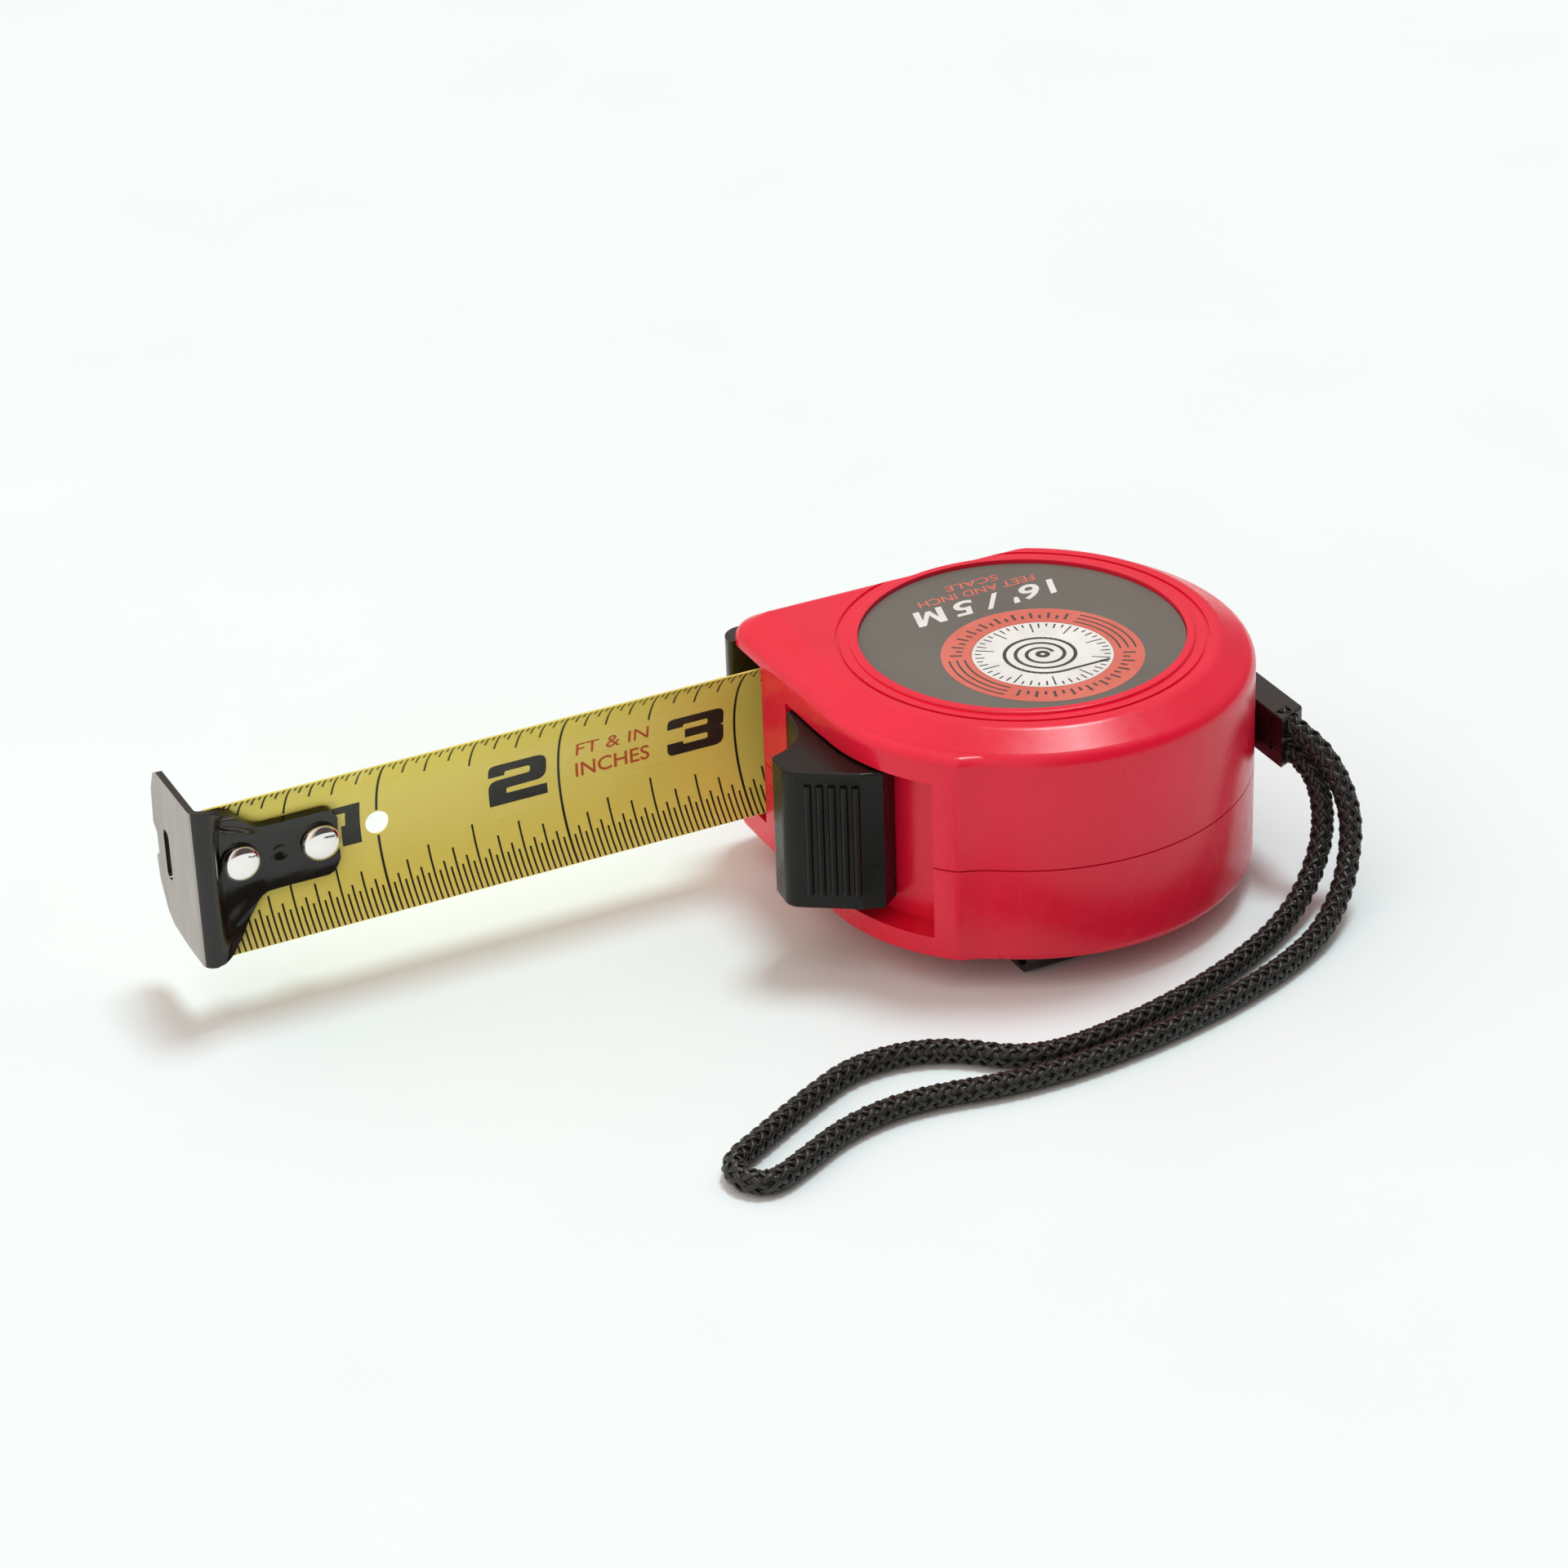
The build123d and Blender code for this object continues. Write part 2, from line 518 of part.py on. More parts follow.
HEAD_UNDER_Y = SECTION_CENTRE_Y + math.sqrt((TONGUE_OUTER_R - TONGUE_THICK) ** 2 - RIVET_HEAD_R**2) - 0.1
TAIL_Y = BLADE_CROWN_Y + BLADE_THICK / 2
with BuildPart() as hook_rivets:
    for from_zero in RIVET_OFFSETS:
        spot = (HOOK_FACE_X + from_zero, MID_Z)
        with BuildSketch(Plane.XZ.offset(-HEAD_UNDER_Y)):
            with Locations(spot):
                Circle(RIVET_HEAD_R)
        extrude(amount=1.0)
        with BuildSketch(Plane.XZ.offset(-HEAD_UNDER_Y)):
            with Locations(spot):
                Circle(RIVET_SHANK_R)
        extrude(amount=HEAD_UNDER_Y - TAIL_Y)
        with BuildSketch(Plane.XZ.offset(-TAIL_Y)):
            with Locations(spot):
                Circle(2.0)
        extrude(amount=-0.7)
    fillet(hook_rivets.faces().group_by(Axis.Y)[0].edges(), 0.8)
hook_rivets.part.label = "hook_rivets"
export_step(hook_rivets.part, "parts/hook_rivets.step")

# ================================================================ spool
with BuildPart() as spool_drum:
    with BuildSketch(Plane.XY.offset(DRUM_LOW)):
        Circle(DRUM_R)
        Circle(HUB_BORE_R, mode=Mode.SUBTRACT)
    extrude(amount=DRUM_HIGH - DRUM_LOW)
    with BuildSketch(Plane.XY.offset(DRUM_LOW + WEB)):
        Circle(DRUM_R - DRUM_WALL)
    extrude(amount=DRUM_HIGH - DRUM_LOW, mode=Mode.SUBTRACT)
spool_drum.part.label = "spool_drum"
export_step(spool_drum.part, "parts/spool_drum.step")

with BuildPart() as spring_cover:
    with BuildSketch(Plane.XY.offset(DRUM_HIGH - WEB)):
        Circle(DRUM_R - DRUM_WALL - 0.02)
        Circle(HUB_BORE_R, mode=Mode.SUBTRACT)
    extrude(amount=WEB)
spring_cover.part.label = "spring_cover"
export_step(spring_cover.part, "parts/spring_cover.step")

with BuildPart() as power_spring:
    # a spiral of half turns: each half is a half ring, its centre a quarter pitch off the axis
    with BuildSketch(Plane.XY.offset(DRUM_LOW + WEB + 0.6)):
        for half_turn in range(2 * SPRING_TURNS):
            side = 1 if half_turn % 2 == 0 else -1
            radius = SPRING_R + SPRING_PITCH * half_turn / 2
            centre_x = side * SPRING_PITCH / 4
            with BuildLine():
                start = 0 if side > 0 else 180
                CenterArc((centre_x, 0), radius + SPRING_THICK, start, 180)
                CenterArc((centre_x, 0), radius, start, 180)
                Line((centre_x + radius, 0), (centre_x + radius + SPRING_THICK, 0))
                Line((centre_x - radius, 0), (centre_x - radius - SPRING_THICK, 0))
            make_face()
    extrude(amount=DRUM_HIGH - DRUM_LOW - 2 * WEB - 1.2)
power_spring.part.label = "power_spring"
export_step(power_spring.part, "parts/power_spring.step")

with BuildPart() as center_post:
    with BuildSketch(Plane.XY.offset(CASE_BOTTOM + 0.9)):
        Circle(POST_R)
    extrude(amount=CEILING_Z - CASE_BOTTOM - 0.9)
    with BuildSketch(Plane.XY.offset(CEILING_Z - 7)):
        Circle(SCREW_SHANK_R)
    extrude(amount=8, mode=Mode.SUBTRACT)
    with BuildSketch(Plane.XY.offset(DRUM_LOW + WEB)):
        Rectangle(0.7, 2 * POST_R + 1)
    extrude(amount=16, mode=Mode.SUBTRACT)
center_post.part.label = "center_post"
export_step(center_post.part, "parts/center_post.step")

with BuildPart() as center_screw:
    with BuildSketch(Plane.XY.offset(CASE_TOP - LABEL_SINK - 0.8)):
        Circle(SCREW_HEAD_R)
    extrude(amount=0.7)
    with BuildSketch(Plane.XY.offset(CEILING_Z - 6.5)):
        Circle(SCREW_SHANK_R - 0.02)
    extrude(amount=CASE_TOP - LABEL_SINK - 0.8 - CEILING_Z + 6.5)
center_screw.part.label = "center_screw"
export_step(center_screw.part, "parts/center_screw.step")


def washer(low_z):
    """A thrust washer round the post."""
    with BuildPart() as ring:
        with BuildSketch(Plane.XY.offset(low_z)):
            Circle(WASHER_R - 0.3)
            Circle(POST_R + 0.15, mode=Mode.SUBTRACT)
        extrude(amount=WASHER_THICK)
    return ring


lower_washer = washer(FLOOR_Z + 1.3)
lower_washer.part.label = "lower_washer"
export_step(lower_washer.part, "parts/lower_washer.step")

upper_washer = washer(CEILING_Z - 1.3 - WASHER_THICK)
upper_washer.part.label = "upper_washer"
export_step(upper_washer.part, "parts/upper_washer.step")

# ================================================================ lock button
PUSH_SIDE_TOP = (-37.9, -2.9)
PUSH_FACE_FRONT = (-38.4, -7.7)
PUSH_FACE_REAR = (-30.4, -13.0)
RIB_COUNT = 5
with BuildPart() as lock_button:
    # push pad with a waisted tongue that lies in the recess towards the mouth
    with BuildSketch(Plane.XY.offset(LOCK_LOW)):
        with BuildLine():
            Line(PUSH_FACE_FRONT, PUSH_FACE_REAR)
            Line(PUSH_FACE_REAR, (-27.7, -14.0))
            Line((-27.7, -14.0), polar(RECESS_R + 0.3, 205.3))
            ThreePointArc(polar(RECESS_R + 0.3, 205.3), polar(RECESS_R + 0.3, 195),
                          polar(RECESS_R + 0.3, 185))
            Line(polar(RECESS_R + 0.3, 185), (-29.3, 1.2))
            Line((-29.3, 1.2), (-29.3, 6.2))
            ThreePointArc((-29.3, 6.2), (-30.1, 7.2), (-31.0, 6.2))
            Line((-31.0, 6.2), (-31.8, 2.4))
            ThreePointArc((-31.8, 2.4), (-34.1, -1.1), PUSH_SIDE_TOP)
            Line(PUSH_SIDE_TOP, PUSH_FACE_FRONT)
        make_face()
    extrude(amount=LOCK_HIGH - LOCK_LOW)
    uprights = lock_button.edges().filter_by(Axis.Z)
    side_edge = uprights.sort_by_distance((*PUSH_SIDE_TOP, MID_Z))[0]
    front_edge = uprights.sort_by_distance((*PUSH_FACE_FRONT, MID_Z))[0]
    fillet(front_edge, 2.2)
    fillet(side_edge, 0.8)
    fillet(lock_button.edges().group_by(Axis.Z)[-1], 0.4)
    fillet(lock_button.edges().group_by(Axis.Z)[0], 0.4)
    # grip ribs along the push face
    face_run = Vector(*PUSH_FACE_REAR) - Vector(*PUSH_FACE_FRONT)
    with BuildSketch(Plane.XY.offset(LOCK_LOW + 2.2)):
        for rib in range(RIB_COUNT):
            spot = Vector(*PUSH_FACE_FRONT) + face_run * (0.3 + 0.16 * rib)
            with Locations((spot.X, spot.Y)):
                Circle(0.5)
    extrude(amount=LOCK_HIGH - LOCK_LOW - 4.0)
    # stem through the recess floor and arm round the spool to the blade
    with BuildSketch(Plane.XY.offset(LOCK_ARM_Z[0] + 1.3)):
        add(sector(LOCK_ARM_R[1] - 0.4, RECESS_R + 1.0, *STEM_ANGLES))
    extrude(amount=LOCK_ARM_Z[1] - LOCK_ARM_Z[0] - 2.6)
    with BuildSketch(Plane.XY.offset(LOCK_ARM_Z[0])):
        add(sector(LOCK_ARM_R[0], LOCK_ARM_R[1], 150, STEM_ANGLES[1]))
        with BuildLine():
            Polyline(polar(LOCK_ARM_R[0], 153), (PAD_X[1], PAD_BACK_Y - 0.2), (PAD_X[0], PAD_BACK_Y - 0.2),
                     polar(LOCK_ARM_R[1], 153), close=True)
        make_face()
    extrude(amount=LOCK_ARM_Z[1] - LOCK_ARM_Z[0])
lock_button.part.label = "lock_button"
export_step(lock_button.part, "parts/lock_button.step")

with BuildPart() as lock_pad:
    # forked friction pad shaped to the blade's hollow face
    with BuildSketch(Plane.YZ.offset(PAD_X[0])):
        with Locations((SECTION_CENTRE_Y, MID_Z)):
            Circle(PAD_R)
        with Locations((PAD_BACK_Y + 10, MID_Z)):
            Rectangle(20, 2 * PAD_HALF_WIDE, mode=Mode.INTERSECT)
        with Locations((PAD_BRIDGE_Y + 10, MID_Z)):
            Rectangle(20, 2 * PAD_CLEAR_HALF, mode=Mode.SUBTRACT)
    extrude(amount=PAD_X[1] - PAD_X[0])
lock_pad.part.label = "lock_pad"
export_step(lock_pad.part, "parts/lock_pad.step")

# ================================================================ belt clip
with BuildPart() as belt_clip:
    # one spring-steel strip: pad against the case, bend, flat arm, upturned tip
    pad_z = CASE_BOTTOM - CLIP_THICK / 2
    arm_z = CLIP_THICK / 2
    bend_r = (pad_z - arm_z) / 2
    with BuildSketch(Plane.YZ.offset(CLIP_X - CLIP_WIDE / 2)):
        with BuildLine():
            Line((CLIP_PAD_END_Y, pad_z), (CLIP_BEND_Y, pad_z))
            ThreePointArc((CLIP_BEND_Y, pad_z), (CLIP_BEND_Y - bend_r, (pad_z + arm_z) / 2),
                          (CLIP_BEND_Y, arm_z))
            Line((CLIP_BEND_Y, arm_z), (CLIP_ARM_END_Y, arm_z))
            TangentArc((CLIP_ARM_END_Y, arm_z), (CLIP_TIP_Y, CLIP_TIP_Z), tangent=(1, 0))
            offset(amount=CLIP_THICK / 2, side=Side.BOTH)
        make_face()
    extrude(amount=CLIP_WIDE)
    with BuildSketch(Plane.XY.offset(CASE_BOTTOM - CLIP_THICK - 0.1)):
        with Locations((CLIP_X, CLIP_SCREW_Y)):
            Circle(SCREW_SHANK_R + 0.1)
    extrude(amount=CLIP_THICK + 0.2, mode=Mode.SUBTRACT)
    with BuildSketch(Plane.XY.offset(-0.1)):
        with Locations((CLIP_X, CLIP_SCREW_Y)):
            Circle(CLIP_ACCESS_R)
    extrude(amount=CLIP_THICK + 0.2, mode=Mode.SUBTRACT)
    # rounded corners at the tip
    with BuildSketch(Plane.XY):
        with Locations((CLIP_X, CLIP_TIP_Y + 0.3 - 30)):
            RectangleRounded(CLIP_WIDE, 60, 3.5)
    extrude(amount=CASE_BOTTOM, mode=Mode.INTERSECT)
belt_clip.part.label = "belt_clip"
export_step(belt_clip.part, "parts/belt_clip.step")

with BuildPart() as clip_screw:
    with BuildSketch(Plane.XY.offset(CASE_BOTTOM - CLIP_THICK - 0.9)):
        with Locations((CLIP_X, CLIP_SCREW_Y)):
            Circle(CLIP_HEAD_R)
    extrude(amount=0.9)
    with BuildSketch(Plane.XY.offset(CASE_BOTTOM - CLIP_THICK)):
        with Locations((CLIP_X, CLIP_SCREW_Y)):
            Circle(SCREW_SHANK_R - 0.02)
    extrude(amount=3.2)
    with BuildSketch(Plane.XY.offset(CASE_BOTTOM - CLIP_THICK - 0.9)):
        with Locations((CLIP_X, CLIP_SCREW_Y)):
            Rectangle(2.8, 0.6)
            Rectangle(0.6, 2.8)
    extrude(amount=0.5, mode=Mode.SUBTRACT)
clip_screw.part.label = "clip_screw"
export_step(clip_screw.part, "parts/clip_screw.step")

# ================================================================ lanyard
tip_run = Vector(*LUG_OUTER_TIP) - Vector(*LUG_INNER_TIP)
TIP_DROOP = 20.0            # the cord's holes point this far below level
TIP_LEVEL = Vector(tip_run.Y, -tip_run.X, 0).normalized()
TIP_OUT = TIP_LEVEL * math.cos(math.radians(TIP_DROOP)) - Vector(0, 0, math.sin(math.radians(TIP_DROOP)))
TIP_MIDDLE = Vector(*LUG_INNER_TIP) + tip_run / 2
LUG_MID_Z = sum(LUG_Z) / 2
HOLE_DEEP = 2.5
LOW_HOLE = Vector(TIP_MIDDLE.X, TIP_MIDDLE.Y, LUG_MID_Z - 1.75)
HIGH_HOLE = Vector(TIP_MIDDLE.X, TIP_MIDDLE.Y, LUG_MID_Z + 1.75)

with BuildPart() as lanyard_bracket:
    with BuildSketch(Plane.XY.offset(LUG_Z[0])):
        with BuildLine():
            Polyline((LUG_X[0], LUG_REAR_Y), LUG_INNER_TIP, LUG_OUTER_TIP, (LUG_X[1], LUG_REAR_Y - 5),
                     (LUG_X[1] - 3.0, LUG_REAR_Y), close=True)
        make_face()
        with Locations(((LUG_FOOT_X + LUG_X[0]) / 2, sum(LUG_FOOT_Y) / 2)):
            Rectangle(LUG_X[0] - LUG_FOOT_X, LUG_FOOT_Y[1] - LUG_FOOT_Y[0])
    extrude(amount=LUG_Z[1] - LUG_Z[0])
    fillet(lanyard_bracket.edges().filter_by(Axis.Z).group_by(Axis.X)[-1], 0.8)
    fillet(lanyard_bracket.edges().group_by(Axis.Z)[-1], 0.35)
    fillet(lanyard_bracket.edges().group_by(Axis.Z)[0], 0.35)
    for hole in (LOW_HOLE, HIGH_HOLE):
        with BuildSketch(Plane(origin=hole - TIP_OUT * HOLE_DEEP, z_dir=TIP_OUT)):
            Circle(CORD_R + 0.02)
        extrude(amount=HOLE_DEEP + 1, mode=Mode.SUBTRACT)
lanyard_bracket.part.label = "lanyard_bracket"
export_step(lanyard_bracket.part, "parts/lanyard_bracket.step")

# The cord leaves the lower hole, hangs to the surface, runs out to the loop's fold and
# comes back beside itself to the upper hole.
CORD_ROUTE = [
    tuple(LOW_HOLE - TIP_OUT * (HOLE_DEEP - 0.2)),
    (31.9, -18.7, 17.2),
    (32.3, -21.9, 13.8),
    (31.5, -23.9, 9.1),
    (28.8, -26.0, 5.2),
    (24.4, -29.0, 2.6),
    (17.2, -33.4, CORD_REST),
    (5.5, -38.8, CORD_REST),
    (-8.0, -42.6, CORD_REST),
    (-22.6, -44.2, CORD_REST),
    (-31.4, -35.6, CORD_REST),
    (-42.2, -34.0, CORD_REST),
    (-52.0, -38.8, CORD_REST),
    (-60.4, -43.6, CORD_REST),
    (-65.2, -46.2, CORD_REST),
    (-66.1, -49.0, CORD_REST),
    (-64.9, -51.6, CORD_REST),
    (-62.3, -52.5, CORD_REST),
    (-57.2, -50.0, CORD_REST),
    (-49.6, -46.0, CORD_REST),
    (-39.6, -44.6, CORD_REST),
    (-25.0, -47.9, CORD_REST),
    (-8.4, -46.8, CORD_REST),
    (8.2, -43.0, CORD_REST),
    (21.4, -37.4, CORD_REST),
    (28.4, -32.4, 3.2),
    (32.4, -28.8, 6.7),
    (34.4, -26.0, 11.9),
    (33.8, -23.0, 17.0),
    (32.2, -19.3, 20.5),
    tuple(HIGH_HOLE - TIP_OUT * (HOLE_DEEP - 0.2)),
]


def bend_radii(points):
    """The largest tangent arcs that each pair of neighbouring runs leaves room for."""
    corners = [Vector(*point) for point in points]
    radii = []
    for before, here, after in zip(corners, corners[1:], corners[2:]):
        turn = (here - before).get_angle(after - here)
        shorter = min((here - before).length, (after - here).length)
        radii.append(0.45 * shorter / math.tan(math.radians(turn / 2)))
    return radii


CORD_RADII = bend_radii(CORD_ROUTE)
with BuildPart() as lanyard_cord:
    with BuildLine() as cord_path:
        FilletPolyline(*CORD_ROUTE, radius=CORD_RADII)
    cord_line = cord_path.wires()[0]
    with BuildSketch(Plane(origin=cord_line @ 0, z_dir=cord_line % 0)):
        Circle(CORD_R)
    sweep(path=cord_line)
lanyard_cord.part.label = "lanyard_cord"
export_step(lanyard_cord.part, "parts/lanyard_cord.step")

cord_length = cord_line.length
print("cord bend radii:", [round(radius, 1) for radius in CORD_RADII])
print("cord length", round(cord_length, 1), "volume", round(lanyard_cord.part.volume, 1),
      "section x length", round(math.pi * CORD_R**2 * cord_length, 1))
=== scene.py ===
"""Looks of the pocket tape measure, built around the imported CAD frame. Metres, in the frame's axes."""
import bpy
import bmesh
import math
from mathutils import Matrix, Vector, noise


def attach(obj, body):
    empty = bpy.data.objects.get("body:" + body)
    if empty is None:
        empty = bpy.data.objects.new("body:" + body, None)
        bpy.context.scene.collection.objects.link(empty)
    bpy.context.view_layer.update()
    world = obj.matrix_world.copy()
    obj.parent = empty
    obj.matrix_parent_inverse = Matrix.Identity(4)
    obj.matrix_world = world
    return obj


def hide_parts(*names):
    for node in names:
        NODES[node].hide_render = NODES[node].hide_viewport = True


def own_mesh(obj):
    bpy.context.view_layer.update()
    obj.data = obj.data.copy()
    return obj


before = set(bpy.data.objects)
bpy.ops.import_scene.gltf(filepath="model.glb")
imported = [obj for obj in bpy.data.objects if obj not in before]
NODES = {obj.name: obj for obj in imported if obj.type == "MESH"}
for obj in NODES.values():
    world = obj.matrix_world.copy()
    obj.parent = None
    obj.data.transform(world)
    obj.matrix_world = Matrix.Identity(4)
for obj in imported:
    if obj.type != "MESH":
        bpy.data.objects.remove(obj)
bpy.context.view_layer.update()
MM = 0.001

# ---------------------------------------------------------------- camera
CAMERA_AT = Vector((-250.08, -456.70, 299.23)) * MM
CAMERA_AZIMUTH = -25.238        # degrees; 0 looks along +Y
CAMERA_ELEVATION = 28.701
CAMERA_ROLL = -2.132
CAMERA_LENS = 103.39
SENSOR = 36.0

# ---------------------------------------------------------------- blade, as in the CAD, in mm
HOOK_FACE_X = -107.7
BLADE_TIP_X = -106.7
INNER_START_X = -60.7           # the inner run shortens towards here as the blade goes in
FLATTEN_FROM_X = -21.5
FLATTEN_TO_X = -6.0
SECTION_R = 14.06
SECTION_Y = 7.84
MID_Z = 19.75
CROWN_Y = 21.9
COIL_Y = 21.4
BLADE_HALF = 12.25              # half the blade's width, along its arc
BLADE_THICK = 0.2
INCH = 25.4
HOLE_X = HOOK_FACE_X + INCH
HOLE_R = 1.6
PRINT_LIFT = 0.02
TONGUE_LONG = 19.7
TONGUE_R = 13.35                # middle of the tongue's sheet, on the printed side
RIVET_XS = (-101.3, -90.5)
RIVET_SEAT_Y = 20.375           # under the heads

# ---------------------------------------------------------------- colours, linear
RED = (0.82, 0.010, 0.046)
RED_DEEP = (0.75, 0.006, 0.034)
YELLOW = (0.97, 0.85, 0.20)
YELLOW_WARM = (0.92, 0.77, 0.15)
INK = (0.012, 0.012, 0.008)
INK_SOFT = (0.028, 0.027, 0.018)
BLACK = (0.0075, 0.0065, 0.0045)
BLACK_SOFT = (0.014, 0.0125, 0.010)


def link(obj):
    bpy.context.scene.collection.objects.link(obj)
    return obj


def make_camera():
    data = bpy.data.cameras.new("camera")
    data.lens = CAMERA_LENS
    data.sensor_width = SENSOR
    data.clip_start, data.clip_end = 0.01, 20.0
    camera = link(bpy.data.objects.new("camera", data))
    azimuth, elevation = math.radians(CAMERA_AZIMUTH), math.radians(CAMERA_ELEVATION)
    back = Vector((math.sin(azimuth) * math.cos(elevation), -math.cos(azimuth) * math.cos(elevation),
                   math.sin(elevation)))
    right = (-back).cross(Vector((0, 0, 1))).normalized()
    up = right.cross(-back)
    roll = math.radians(CAMERA_ROLL)
    image_right = right * math.cos(roll) + up * math.sin(roll)
    image_up = up * math.cos(roll) - right * math.sin(roll)
    turn = Matrix((image_right, image_up, back)).transposed()
    camera.matrix_world = Matrix.Translation(CAMERA_AT) @ turn.to_4x4()
    bpy.context.scene.camera = camera


# ================================================================ materials
class Nodes:
    """A node tree with short calls for the few nodes that the materials here use."""

    def __init__(self, tree):
        self.tree = tree

    def add(self, kind, settings=None, **inputs):
        node = self.tree.nodes.new(kind)
        for name, value in (settings or {}).items():
            setattr(node, name, value)
        for name, value in inputs.items():
            socket = node.inputs[name.replace("_", " ")]
            if isinstance(value, bpy.types.NodeSocket):
                self.tree.links.new(value, socket)
            else:
                socket.default_value = value
        return node

    def place(self, stretch=(1, 1, 1)):
        at = self.add("ShaderNodeTexCoord").outputs["Object"]
        return self.add("ShaderNodeMapping", Vector=at, Scale=stretch).outputs["Vector"]

    def grain(self, scale, stretch=(1, 1, 1), detail=3.0, rough=0.55):
        return self.add("ShaderNodeTexNoise", Vector=self.place(stretch), Scale=scale, Detail=detail,
                        Roughness=rough).outputs["Fac"]

    def spread(self, value, low, high, start=0.3, end=0.7):
        node = self.add("ShaderNodeMapRange", Value=value)
        for index, number in ((1, start), (2, end), (3, low), (4, high)):
            node.inputs[index].default_value = number
        return node.outputs[0]

    def mix(self, factor, one, two):
        node = self.add("ShaderNodeMix", {"data_type": "RGBA"})
        for index, value in ((0, factor), (6, one), (7, two)):
            if isinstance(value, bpy.types.NodeSocket):
                self.tree.links.new(value, node.inputs[index])
            elif index:
                node.inputs[index].default_value = (*value, 1)
            else:
                node.inputs[index].default_value = value
        return node.outputs[2]

    def bump(self, height, distance, strength=1.0, normal=None):
        node = self.add("ShaderNodeBump", Height=height, Distance=distance, Strength=strength)
        if normal is not None:
            self.tree.links.new(normal, node.inputs["Normal"])
        return node.outputs["Normal"]


def finish(name, dark, light, rough, cloud=90.0, stretch=(1, 1, 1), grain=(2500.0, 0.00001),
           waves=(180.0, 0.00004), marks=None, **shader):
    """A material whose colour drifts from dark to light, with varied gloss, fine grain and slow waves."""
    material = bpy.data.materials.new(name)
    material.use_nodes = True
    tree = material.node_tree
    nodes = Nodes(tree)
    principled = tree.nodes["Principled BSDF"]
    drift = nodes.spread(nodes.grain(cloud, stretch), 0, 1)
    colour = nodes.mix(drift, dark, light)
    specks = nodes.grain(grain[0], stretch, detail=4)
    if marks:
        mark = nodes.spread(nodes.grain(marks[0], (1, 1, 1), detail=6, rough=0.7), 0, marks[1], 0.62, 0.75)
        colour = nodes.mix(mark, colour, marks[2])
    tree.links.new(colour, principled.inputs["Base Color"])
    tree.links.new(nodes.spread(nodes.grain(cloud * 7, stretch, detail=5), rough[0], rough[1]),
                   principled.inputs["Roughness"])
    slow = nodes.bump(nodes.grain(waves[0], stretch, detail=1), waves[1])
    tree.links.new(nodes.bump(specks, grain[1], normal=slow), principled.inputs["Normal"])
    for key, value in shader.items():
        principled.inputs[key.replace("_", " ")].default_value = value
    return material


